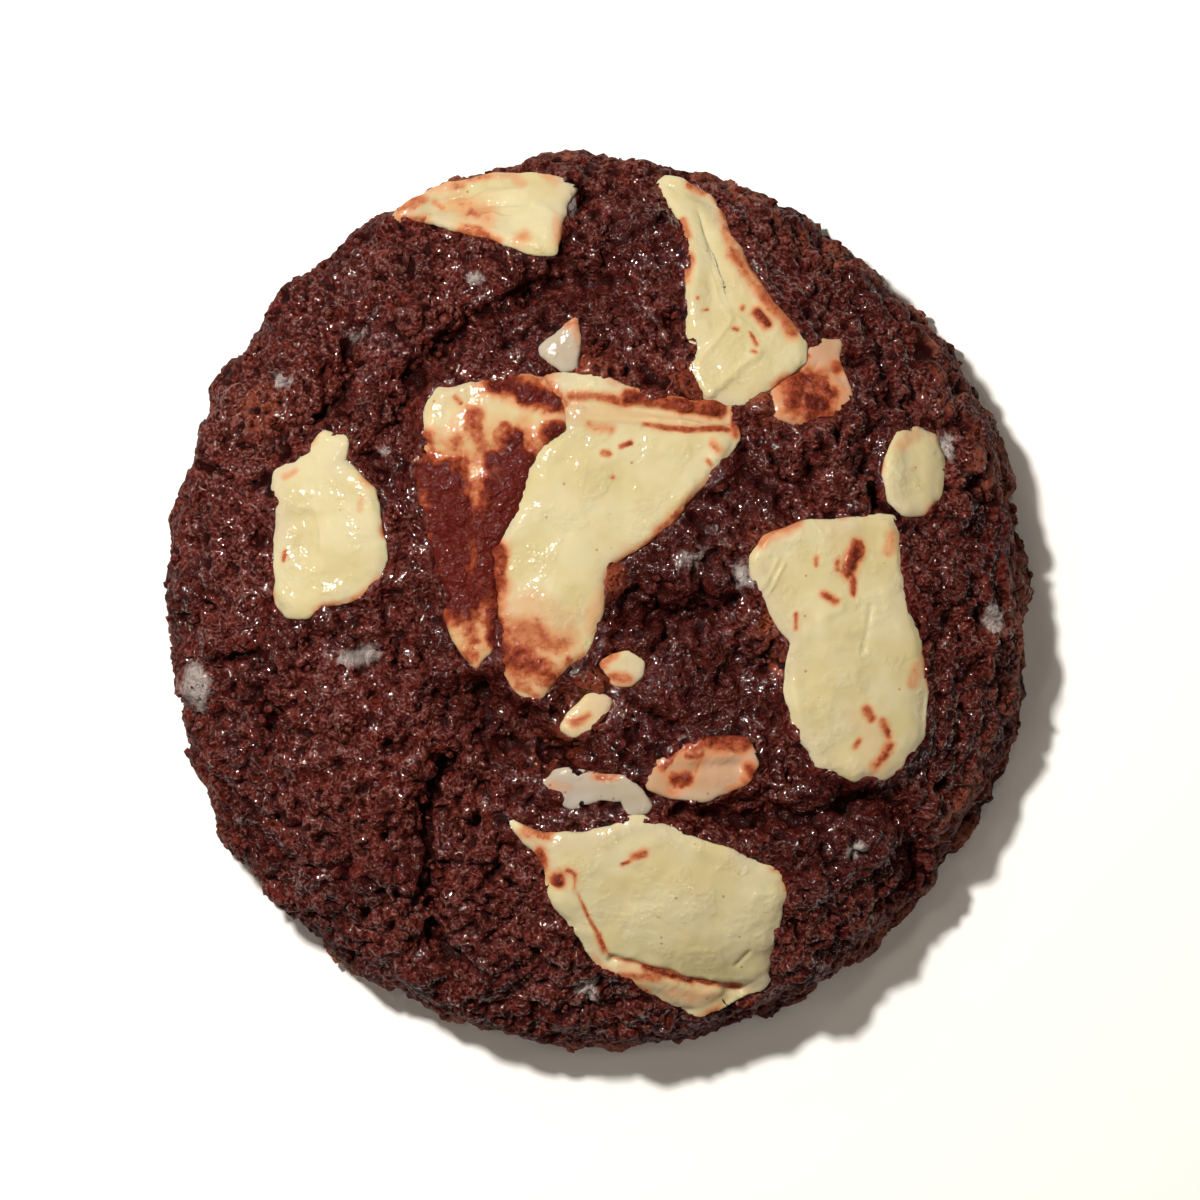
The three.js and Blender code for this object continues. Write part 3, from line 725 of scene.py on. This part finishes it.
def lapped(places, inside, face, reach):
    """Lets the dough creep up to and over the edges of the chocolate and hides it under the rest."""
    lap = reach * (0.2 + 1.2 * noise_at(places, 3.4, 31) + 0.3 * noise_at(places, 1.3, 32))
    near = (inside > 0) & (np.abs(face - places[:, 2]) < 3.0)
    cover = ramp(lap - inside, -0.5, 0.5)
    result = places.copy()
    over = face + LAP_ABOVE + 0.25 * noise_at(places, 0.9, 33)
    result[near, 2] = (face - LAP_BELOW + cover * (over - face + LAP_BELOW))[near]
    beside = (inside <= 0) & (inside > -2.2) & (places[:, 2] > 0.4 * TOP)
    step = np.clip(face - 0.15 + 0.4 * ramp(lap, -0.2, 0.8) - places[:, 2], 0, 2.0)
    result[beside, 2] += (step * bell(inside, 0.8))[beside]
    blush = 0.6 * bell(inside, 0.45) * ramp(lap, 0, 0.6)
    return result, np.where(near, cover, 0.0) + np.where(beside, blush, 0)


# -------- relief of the chocolate


def inset_of(places, normals):
    """How far each place of a piece is inside the piece's own edge, seen from above."""
    edge = flat_tree(places[np.abs(normals[:, 2] - 0.1) < 0.2])
    return np.array([edge.find((x, y, 0))[2] for x, y, _ in places])


def evened(places, normals, inset):
    """The places with the narrow ridges of a piece's face evened out, except near its edge."""
    face = normals[:, 2] > 0.4
    grid = (places[:, :2] - places[:, :2].min(axis=0)) / PLAN_CELL + 12
    spot = grid.astype(int)
    total = np.zeros(spot.max(axis=0) + 13)
    weight = np.zeros_like(total)
    np.add.at(total, tuple(spot[face].T), places[face, 2])
    np.add.at(weight, tuple(spot[face].T), 1)
    for _ in range(EVENING):
        for axis in (0, 1):
            total = 0.5 * total + 0.25 * (np.roll(total, 1, axis) + np.roll(total, -1, axis))
            weight = 0.5 * weight + 0.25 * (np.roll(weight, 1, axis) + np.roll(weight, -1, axis))
    level = total / np.maximum(weight, 1e-9)
    corner = (grid - 0.5).astype(int)
    (u, v), (i, j) = (grid - 0.5 - corner).T, corner.T
    left = level[i, j] * (1 - v) + level[i, j + 1] * v
    right = level[i + 1, j] * (1 - v) + level[i + 1, j + 1] * v
    level = left * (1 - u) + right * u
    result = places.copy()
    result[:, 2] += face * ramp(inset, 0.6, 2.4) * (level - places[:, 2])
    return result


def stains_at(places, inset, node):
    """How strongly the dough has stained a piece of chocolate."""
    stain = np.full(len(places), FILMS.get(node, 0.0))
    wander = noise_at(places, 1.5, 41) + 0.5 * noise_at(places, 0.6, 42)
    drift = 0.7 * noise_at(places, 3.6, 45)
    for line, width, strength in STAINS[node]:
        distance = line_distance(places, line) + 0.5 * width * wander + width * drift
        stain = np.maximum(stain, strength * bell(distance, 1.7 * width))
    fringe = 0.7 * bell(inset, 0.5) * ramp(noise_at(places, 3.6, 43), 0.0, 0.4)
    return np.maximum(stain, fringe)


def chocolate_relief(places, normals, node, stain, settings):
    """How each place of a piece moves: out to its pocket's wall, in waves over its face, down its creases."""
    facing_up = ramp(normals[:, 2], 0.2, 0.7)
    sideways = normals * (1, 1, 0)
    edge = settings.grow + 0.3 * noise_at(places, 2.4, 21) + 0.1 * noise_at(places, 1.0, 22)
    face = 0.3 * noise_at(places, 5.5, 4) + 0.10 * noise_at(places, 2.1, 8) + 0.03 * noise_at(places, 1.0, 9)
    face += 0.24 * ramp(stain, 0.7, 1.0) * (2 * lumps_at(places, 1.2, 23) - 0.8 + noise_at(places, 0.6, 24))
    for line, width, depth in GROOVES.get(node, ()):
        wander = 0.5 * width * noise_at(places, 1.6, 2)
        face -= depth * bell(line_distance(places, line) + wander, width)
    return edge[:, None] * sideways + (facing_up * face)[:, None] * normals


# -------- crumbs


def scattered(dough, count, draw):
    """Random places on the dough above its foot, even over its area, with their normals."""
    mesh = dough.data
    sides = np.array([(p.area, *p.center, *p.normal) for p in mesh.polygons])
    area = sides[:, 0] * ramp(sides[:, 3] / MM, 1.0, 2.0) * (sides[:, 6] > -0.3)
    chosen = sides[draw.choice(len(sides), size=count, p=area / area.sum())]
    across = draw.uniform(-0.5, 0.5, (count, 3)) * np.sqrt(chosen[:, :1])
    return chosen[:, 1:4] / MM + across / MM, chosen[:, 4:7]


def grains(places, normals, radii, draw):
    """Lumpy grains lying on some places, as arrays of their vertices and faces."""
    ball = bmesh.new()
    bmesh.ops.create_icosphere(ball, subdivisions=1, radius=1.0)
    corners = np.array([v.co[:] for v in ball.verts])
    faces = np.array([[v.index for v in f.verts] for f in ball.faces])
    ball.free()
    count = len(places)
    shape = corners * draw.uniform(0.65, 1.4, (count, 1, 3))
    shape *= draw.uniform(0.82, 1.15, (count, len(corners), 1))
    turns = np.array([Euler(turn).to_matrix() for turn in draw.uniform(0, math.tau, (count, 3))])
    verts = np.einsum("nij,nkj->nki", turns, shape)
    verts -= 0.4 * np.einsum("nkj,nj->nk", verts, normals)[:, :, None] * normals[:, None]
    verts = verts * radii[:, None, None] + places[:, None]
    faces = faces + len(corners) * np.arange(count)[:, None, None]
    return verts.reshape(-1, 3), faces.reshape(-1, 3)


# -------- materials


def group_input(group, name, kind, value):
    """Adds an input to a shader node group."""
    socket = group.interface.new_socket(name, in_out="INPUT", socket_type=kind)
    socket.default_value = value


def add_node(tree, kind, inputs=None, **settings):
    """A new shader node with its settings and its inputs' values or links."""
    node = tree.nodes.new(kind)
    for key, value in settings.items():
        setattr(node, key, value)
    for key, value in (inputs or {}).items():
        if isinstance(value, bpy.types.NodeSocket):
            tree.links.new(value, node.inputs[key])
        else:
            node.inputs[key].default_value = value
    return node


def math_node(tree, operation, a, b=0.0, clamp=False):
    """The output of a Math node."""
    return add_node(tree, "ShaderNodeMath", {0: a, 1: b}, operation=operation, use_clamp=clamp).outputs[0]


def plus(tree, a, b):
    """The sum of two values."""
    return math_node(tree, "ADD", a, b)


def times(tree, a, b):
    """The product of two values."""
    return math_node(tree, "MULTIPLY", a, b)


def higher(tree, a, b):
    """The higher of two values."""
    return math_node(tree, "MAXIMUM", a, b)


def flipped(tree, value, clamp=False):
    """1 less the value."""
    return math_node(tree, "SUBTRACT", 1.0, value, clamp)


def mix_colour(tree, factor, a, b):
    """The output of a colour Mix node."""
    node = add_node(tree, "ShaderNodeMix", data_type="RGBA")
    for name, kind, value in (("Factor", "VALUE", factor), ("A", "RGBA", a), ("B", "RGBA", b)):
        socket = next(s for s in node.inputs if s.name == name and s.type == kind)
        if isinstance(value, bpy.types.NodeSocket):
            tree.links.new(value, socket)
        else:
            socket.default_value = value if kind == "VALUE" else (*value, 1)
    return next(s for s in node.outputs if s.type == "RGBA")


def layered(tree, base, layers):
    """A base colour under layers, each a mask and a colour."""
    for mask, layer in layers:
        base = mix_colour(tree, mask, base, layer)
    return base


def step_node(tree, value, low, high):
    """0 below low and 1 above high, smooth between."""
    node = add_node(
        tree, "ShaderNodeMapRange", {"Value": value, "From Min": low, "From Max": high},
        interpolation_type="SMOOTHSTEP",
    )
    return node.outputs["Result"]


def blend(tree, amount, low, high):
    """The value that is low where the amount is 0 and high where it is 1."""
    node = add_node(tree, "ShaderNodeMapRange", {"Value": amount, "To Min": low, "To Max": high})
    return node.outputs["Result"]


def noise_node(tree, place, size, detail=3.0, roughness=0.55):
    """Noise of a grain in millimetres."""
    node = add_node(
        tree, "ShaderNodeTexNoise",
        {"Vector": place, "Scale": 1 / (size * MM), "Detail": detail, "Roughness": roughness},
    )
    return node.outputs["Fac"]


def mask_node(tree, name):
    """One of the piece's own masks."""
    return add_node(tree, "ShaderNodeAttribute", attribute_name=name).outputs["Fac"]


def add_bump(tree, height, depth, normal=None):
    """A Bump node, with the depth in millimetres."""
    node = add_node(tree, "ShaderNodeBump", {"Height": height, "Distance": depth * MM, "Strength": 1.0})
    if normal is not None:
        tree.links.new(normal, node.inputs["Normal"])
    return node.outputs["Normal"]


def grain_group():
    """A node group with the finest crumb: its height, from 0 to 1, and a mask of the pits between its grains,
    where shade is painted.
    """
    group = bpy.data.node_groups.new("crumb_grain", "ShaderNodeTree")
    group_input(group, "Place", "NodeSocketVector", (0, 0, 0))
    group_input(group, "Size", "NodeSocketFloat", 0.001)
    group.interface.new_socket("Height", in_out="OUTPUT", socket_type="NodeSocketFloat")
    group.interface.new_socket("Pit Shade", in_out="OUTPUT", socket_type="NodeSocketFloat")
    ends = add_node(group, "NodeGroupInput")
    place = ends.outputs["Place"]
    scale = math_node(group, "DIVIDE", 1.0, ends.outputs["Size"])
    threads = add_node(
        group, "ShaderNodeTexNoise", {"Vector": place, "Scale": scale, "Detail": 0.5, "Distortion": 0.7}
    )
    middle = math_node(group, "ABSOLUTE", math_node(group, "SUBTRACT", threads.outputs["Fac"], 0.5))
    ridges = flipped(group, times(group, middle, 3.6), clamp=True)
    finer = times(group, scale, 2.2)
    knobs = add_node(group, "ShaderNodeTexNoise", {"Vector": place, "Scale": finer, "Detail": 1.0})
    height = plus(group, times(group, ridges, 0.4), times(group, knobs.outputs["Fac"], 0.6))
    result = add_node(group, "NodeGroupOutput")
    group.links.new(height, result.inputs["Height"])
    # Painted shade mask: 1 in the low pits between the grains
    group.links.new(flipped(group, step_node(group, height, 0.33, 0.53)), result.inputs["Pit Shade"])
    return group


def crumb_grain():
    """The grain group, made once."""
    return bpy.data.node_groups.get("crumb_grain") or grain_group()


def add_grain(tree, group, place, size):
    """The grain group at a size in millimetres: its height and its mask of painted shade in the pits."""
    node = add_node(tree, "ShaderNodeGroup", node_tree=group)
    tree.links.new(place, node.inputs["Place"])
    node.inputs["Size"].default_value = size * MM
    return node.outputs["Height"], node.outputs["Pit Shade"]


def start_material(name):
    """A new material: its tree, its Principled shader and the Object coordinates."""
    material = bpy.data.materials.new(name)
    material.use_nodes = True
    tree = material.node_tree
    shader = next(n for n in tree.nodes if n.type == "BSDF_PRINCIPLED")
    place = add_node(tree, "ShaderNodeTexCoord").outputs["Object"]
    return material, tree, shader, place


def set_finish(shader, values):
    """Sets the shader's sockets that are the same all over the piece."""
    for name, value in values.items():
        shader.inputs[name].default_value = value


def link_normal(tree, shader, normal):
    """Gives the shader and its coat the same normal."""
    tree.links.new(normal, shader.inputs["Normal"])
    tree.links.new(normal, shader.inputs["Coat Normal"])


def streaked_smear_and_shine(tree, place):
    """The mask of the melted films and of the painted highlights among them, drawn out in streaks."""
    brushed = add_node(
        tree, "ShaderNodeMapping", {"Vector": place, "Rotation": (0.0, 0.0, 0.6), "Scale": (1.0, 0.3, 1.0)}
    )
    streak = noise_node(tree, brushed.outputs["Vector"], 0.9, 4.0, 0.65)
    film_and_shine = plus(tree, times(tree, streak, 1.3), mask_node(tree, "smear_and_shine"))
    return times(tree, step_node(tree, film_and_shine, 1.0, 1.5), 0.8)


def dough_material(settings, group):
    """Moist red crumb: dark and shining where soaked, redder where dry, brown at the foot, with painted shade
    in its clefts and pits, and painted highlight on its crests and among its films.
    """
    material, tree, shader, place = start_material("baked_dough")
    height, pits = add_grain(tree, group, place, 0.75)
    wet = mask_node(tree, "wet")
    broad = noise_node(tree, place, 8.0, 2.0)
    mottle = noise_node(tree, place, 1.8, 4.0, 0.6)
    soaked = higher(tree, step_node(tree, broad, 0.46, 0.68), step_node(tree, wet, 0.0, 0.75))
    red = times(tree, step_node(tree, mottle, 0.44, 0.68), flipped(tree, times(tree, wet, 0.75)))
    red = higher(tree, red, times(tree, mask_node(tree, "lap"), 0.9))
    # The rim mask holds the browned foot and the upper wall that faces right
    browned = times(tree, mask_node(tree, "rim"), step_node(tree, broad, 0.60, 0.42))
    browned = times(tree, browned, step_node(tree, mottle, 0.35, 0.6))
    glow = times(tree, mask_node(tree, "glow"), step_node(tree, mottle, 0.3, 0.58))
    # Painted highlight: the crests are made lighter and pinker, partly their own tone and partly in place of
    # glints
    crest_highlight = times(tree, step_node(tree, height, 0.56, 0.74), blend(tree, soaked, 0.5, 0.12))
    # Melted films and painted highlights, in the colour of the smears
    film_and_shine = streaked_smear_and_shine(tree, place)
    # Painted shade: the colour is darkened in the clefts and in the pits between the grains, less under the
    # films
    painted_hollow_shade = higher(tree, step_node(tree, mask_node(tree, "cleft_shade"), 0.3, 0.85), times(tree, pits, 0.85))
    painted_hollow_shade = times(tree, painted_hollow_shade, blend(tree, film_and_shine, 1.0, 0.3))
    layers = [
        (soaked, settings.deep),
        (red, settings.red),
        (browned, settings.rim),
        (glow, settings.glow),
        (crest_highlight, settings.crest_highlight),
        (film_and_shine, settings.smear_and_shine),
        (painted_hollow_shade, tuple(HOLLOW_SHADE * c for c in settings.deep)),
    ]
    tree.links.new(layered(tree, settings.lit, layers), shader.inputs["Base Color"])
    moist = higher(tree, step_node(tree, height, 0.55, 0.68), times(tree, wet, 0.1))
    shine = times(tree, blend(tree, soaked, 0.8, 1.0), blend(tree, painted_hollow_shade, 1.0, 0.06))
    shine = times(tree, shine, blend(tree, moist, 0.05, 1.0))
    shine = times(tree, shine, blend(tree, mask_node(tree, "wall"), 1.0, 0.15))
    tree.links.new(shine, shader.inputs["Coat Weight"])
    set_finish(shader, {"Roughness": 0.6, "Specular IOR Level": 0.05})
    set_finish(shader, {"Coat Roughness": 0.06, "Coat IOR": 1.8})
    link_normal(tree, shader, add_bump(tree, height, 0.22))
    return material


def freckles(tree, place):
    """A mask of small dots, some way apart."""
    dots = add_node(tree, "ShaderNodeTexVoronoi", {"Vector": place, "Scale": 1 / (1.6 * MM)})
    dot = flipped(tree, step_node(tree, dots.outputs["Distance"], 0.07, 0.12))
    chance = add_node(tree, "ShaderNodeSeparateColor", {"Color": dots.outputs["Color"]})
    return times(tree, dot, step_node(tree, chance.outputs["Red"], 0.55, 0.7))


def chocolate_material(name, cream, settings, group):
    """Waxy white chocolate with a paler melted edge, and stains that break up into red crumbs."""
    material, tree, shader, place = start_material(name)
    crumbs, _ = add_grain(tree, group, place, 0.8)
    ragged = noise_node(tree, place, 0.8, 4.0, 0.65)
    cloudy = noise_node(tree, place, 5.0, 2.0)
    sheen = step_node(tree, noise_node(tree, place, 3.4, 2.0), 0.46, 0.60)
    stain = mask_node(tree, "stain")
    faint = plus(tree, stain, times(tree, math_node(tree, "SUBTRACT", cloudy, 0.5), stain))
    heavy = step_node(tree, plus(tree, stain, times(tree, ragged, 0.8)), 1.2, 1.55)
    pale = tuple(min(1.0, share * c) for share, c in zip(PALER, cream))
    layers = [
        (step_node(tree, cloudy, 0.35, 0.65), pale),
        (times(tree, mask_node(tree, "edge"), 0.5), settings.melted),
        (times(tree, step_node(tree, faint, 0.1, 0.75), 0.85), settings.tint),
        (times(tree, step_node(tree, faint, 0.45, 0.95), 0.55), settings.stain),
        (times(tree, freckles(tree, place), 0.55), settings.stain),
        (step_node(tree, plus(tree, stain, ragged), 1.05, 1.4), settings.stain),
        (heavy, settings.soaked),
    ]
    tree.links.new(layered(tree, cream, layers), shader.inputs["Base Color"])
    dull = times(tree, heavy, step_node(tree, crumbs, 0.70, 0.56))
    shine = math_node(tree, "SUBTRACT", higher(tree, sheen, heavy), dull, clamp=True)
    tree.links.new(blend(tree, shine, 0.06, 0.45), shader.inputs["Coat Weight"])
    set_finish(shader, {"Roughness": 0.5, "Specular IOR Level": 0.06, "Coat Roughness": 0.08})
    depth = {"Subsurface Radius": (1.0, 0.7, 0.35), "Subsurface Scale": 1.2 * MM}
    set_finish(shader, {"Subsurface Weight": 0.35, **depth})
    ripple = times(tree, noise_node(tree, place, 0.55, 1.0), blend(tree, sheen, 0.15, 1.0))
    bumps = add_bump(tree, times(tree, heavy, crumbs), 0.24, add_bump(tree, ripple, 0.11))
    link_normal(tree, shader, bumps)
    return material


def floor_material(settings):
    """A matt pale board with a trace of mottle."""
    material, tree, shader, place = start_material("pale_board")
    darker = tuple(0.985 * c for c in settings.floor)
    mottled = mix_colour(tree, noise_node(tree, place, 30.0, 3.0), settings.floor, darker)
    tree.links.new(mottled, shader.inputs["Base Color"])
    set_finish(shader, {"Roughness": 0.9})
    return material


# -------- stage


def add_lamp(scene, name, kind, height, side):
    """A lamp that shines on the cookie from an angle over the floor and round from +X."""
    light = bpy.data.lights.new(name, kind)
    lamp = bpy.data.objects.new(name, light)
    lamp.rotation_euler = (0, math.pi / 2 - height, side)
    scene.collection.objects.link(lamp)
    return lamp


def add_key(scene, settings):
    """The key light, a small disc that is near enough to be weaker on the far side of the cookie."""
    lamp = add_lamp(scene, "key", "AREA", settings.key_height, settings.key_side)
    lamp.location = lamp.rotation_euler.to_matrix() @ Vector((0, 0, settings.key_distance))
    lamp.data.shape = "DISK"
    lamp.data.size = settings.key_distance * math.radians(5)
    lamp.data.energy = settings.key_power * math.pi * settings.key_distance**2
    lamp.data.color = settings.key_colour


def add_small_lamps(scene, settings):
    """Weak far lamps all round, for the glints on the wet crumb."""
    for i in range(settings.lamps):
        side = settings.key_side + math.tau * (i + 0.5) / settings.lamps
        lamp = add_lamp(scene, f"lamp_{i}", "SUN", math.radians(70 - 14 * (i % 3)), side)
        lamp.data.energy = settings.lamp_power
        lamp.data.angle = math.radians(5)
        lamp.data.color = settings.lamp_colour


# -------- operators


class COOKIE_OT_chocolate(bpy.types.Operator):
    """Build the pieces of white chocolate with their creases and stains"""

    bl_idname = "cookie.chocolate"
    bl_label = "Set Chocolate"

    def execute(self, context):
        settings = context.scene.cookie_chocolate
        group = crumb_grain()
        clean = chocolate_material("white_chocolate", settings.cream, settings, group)
        grey = chocolate_material("melted_chocolate", settings.grey, settings, group)
        pink = chocolate_material("pink_chocolate", settings.pink, settings, group)
        materials = {**dict.fromkeys(GREY_PIECES, grey), **dict.fromkeys(PINK_PIECES, pink)}
        for node in PIECES:
            bm = remeshed(node_bmesh(node), settings.cell, 2)
            places, normals = coordinates(bm)
            inset = inset_of(places, normals)
            stain = stains_at(places, inset, node)
            relief = chocolate_relief(places, normals, node, stain, settings)
            place_all(bm, evened(places, normals, inset) + relief)
            masks = {"stain": stain, "edge": bell(inset, 1.2) * ramp(noise_at(places, 5.0, 44), -0.3, 0.3)}
            add_piece("white_" + node, bm, materials.get(node, clean), node, masks)
        return {"FINISHED"}


class COOKIE_OT_dough(bpy.types.Operator):
    """Build the baked dough with its lumps, cracks and foot, creeping over the chocolate's edges"""

    bl_idname = "cookie.dough"
    bl_label = "Bake Dough"

    def execute(self, context):
        settings = context.scene.cookie_dough
        if "white_chunk_front" not in bpy.data.objects:
            raise RuntimeError("set the chocolate before baking the dough round it")
        bm = dough_form(settings)
        close_base(bm)
        places, normals = coordinates(bm)
        out, masks = dough_relief(places, normals, settings)
        places += normals * out[:, None]
        skin = chocolate_skin()
        inside, face = over_chocolate(places, skin, *outline_of(skin))
        places, masks["lap"] = lapped(places, inside, face, settings.lap)
        masks["glow"] = patches_at(places, BLUSHES)
        place_all(bm, places)
        border = [v for v, d in zip(bm.verts, inside) if abs(d) < 0.9 and v.co.z > 0.4 * TOP]
        soften(bm, border, 2, sideways=False)
        add_piece("dough", bm, dough_material(settings, crumb_grain()), "cookie", masks)
        return {"FINISHED"}


class COOKIE_OT_crumbs(bpy.types.Operator):
    """Scatter grains of crumb over the dough"""

    bl_idname = "cookie.crumbs"
    bl_label = "Scatter Crumbs"

    def execute(self, context):
        settings = context.scene.cookie_crumbs
        dough = bpy.data.objects.get("dough")
        if dough is None:
            raise RuntimeError("bake the dough before scattering crumbs on it")
        draw = np.random.default_rng(settings.seed)
        places, normals = scattered(dough, settings.count, draw)
        skin = chocolate_skin()
        wet = patches_at(places, WET_PATCHES)
        clear = np.array([skin.find_nearest(p)[3] > 0.7 for p in places])
        clear &= draw.uniform(0, 1, len(places)) > np.maximum(0.6 * wet, 1.5 * smears_and_shine_at(places))
        places, normals, wet = places[clear], normals[clear], wet[clear]
        radii = settings.radius * draw.uniform(0.75, 1.5, len(places)) ** 2
        sunk = 0.5 - 0.25 * ramp(normals[:, 2], 0.2, 0.8)
        verts, faces = grains(places - (sunk * radii)[:, None] * normals, normals, radii, draw)
        mesh = bpy.data.meshes.new("grains")
        mesh.from_pydata(verts.tolist(), [], faces.tolist())
        bm = bmesh.new()
        bm.from_mesh(mesh)
        bpy.data.meshes.remove(mesh)
        tone = np.repeat(draw.uniform(0, 0.6, len(places)), len(verts) // len(places))
        masks = {
            "cleft_shade": 0.5 * tone,
            "lap": tone[::-1],
            "wet": np.repeat(wet, len(verts) // len(places)),
            "smear_and_shine": np.zeros(len(verts)),
            "glow": patches_at(verts, BLUSHES),
            "rim": 1 - ramp(verts[:, 2], *FOOT_FADE),
            "wall": 1 - ramp(verts[:, 2], 0.4 * TOP, 0.6 * TOP),
        }
        add_piece("crumb_grains", bm, bpy.data.materials["baked_dough"], "cookie", masks)
        return {"FINISHED"}


class COOKIE_OT_stage(bpy.types.Operator):
    """Set the floor, the lights and the camera"""

    bl_idname = "cookie.stage"
    bl_label = "Set Stage"

    def execute(self, context):
        settings = context.scene.cookie_stage
        scene = context.scene
        bm = bmesh.new()
        bmesh.ops.create_grid(bm, x_segments=8, y_segments=8, size=FLOOR_SIZE)
        floor = add_object("floor", bm)
        floor.data.materials.append(floor_material(settings))

        add_key(scene, settings)
        add_small_lamps(scene, settings)

        world = bpy.data.worlds.new("soft_studio")
        world.use_nodes = True
        sky = world.node_tree.nodes["Background"]
        sky.inputs["Color"].default_value = (*settings.fill_colour, 1)
        sky.inputs["Strength"].default_value = settings.fill_power
        scene.world = world

        lens = bpy.data.cameras.new("from_above")
        lens.sensor_width = 36
        lens.lens = lens.sensor_width * settings.distance / settings.view_width
        lens.clip_start = 0.01
        lens.clip_end = 20
        camera = bpy.data.objects.new("from_above", lens)
        camera.location.z = VIEW_LEVEL + settings.distance
        scene.collection.objects.link(camera)
        scene.camera = camera
        scene.view_settings.view_transform = "Standard"
        return {"FINISHED"}


class COOKIE_PT_panel(bpy.types.Panel):
    """Buttons and values for the cookie"""

    bl_label = "Red Velvet Cookie"
    bl_idname = "COOKIE_PT_panel"
    bl_space_type = "VIEW_3D"
    bl_region_type = "UI"
    bl_category = "Cookie"

    def draw(self, context):
        for operator, group in STEPS:
            box = self.layout.box()
            box.operator(operator)
            settings = getattr(context.scene, group)
            for name in settings.__annotations__:
                box.prop(settings, name)


SETTINGS = {
    "cookie_dough": DoughSettings,
    "cookie_chocolate": ChocolateSettings,
    "cookie_crumbs": CrumbSettings,
    "cookie_stage": StageSettings,
}
STEPS = [
    ("cookie.chocolate", "cookie_chocolate"),
    ("cookie.dough", "cookie_dough"),
    ("cookie.crumbs", "cookie_crumbs"),
    ("cookie.stage", "cookie_stage"),
]
CLASSES = [
    *SETTINGS.values(),
    COOKIE_OT_dough,
    COOKIE_OT_chocolate,
    COOKIE_OT_crumbs,
    COOKIE_OT_stage,
    COOKIE_PT_panel,
]


def register():
    for cls in CLASSES:
        bpy.utils.register_class(cls)
    for name, cls in SETTINGS.items():
        setattr(bpy.types.Scene, name, PointerProperty(type=cls))


def unregister():
    for name in SETTINGS:
        delattr(bpy.types.Scene, name)
    for cls in reversed(CLASSES):
        bpy.utils.unregister_class(cls)


def main():
    """Builds the cookie and its stage in order."""
    register()
    bpy.ops.cookie.chocolate()
    bpy.ops.cookie.dough()
    bpy.ops.cookie.crumbs()
    bpy.ops.cookie.stage()


if __name__ == "__main__":
    main()
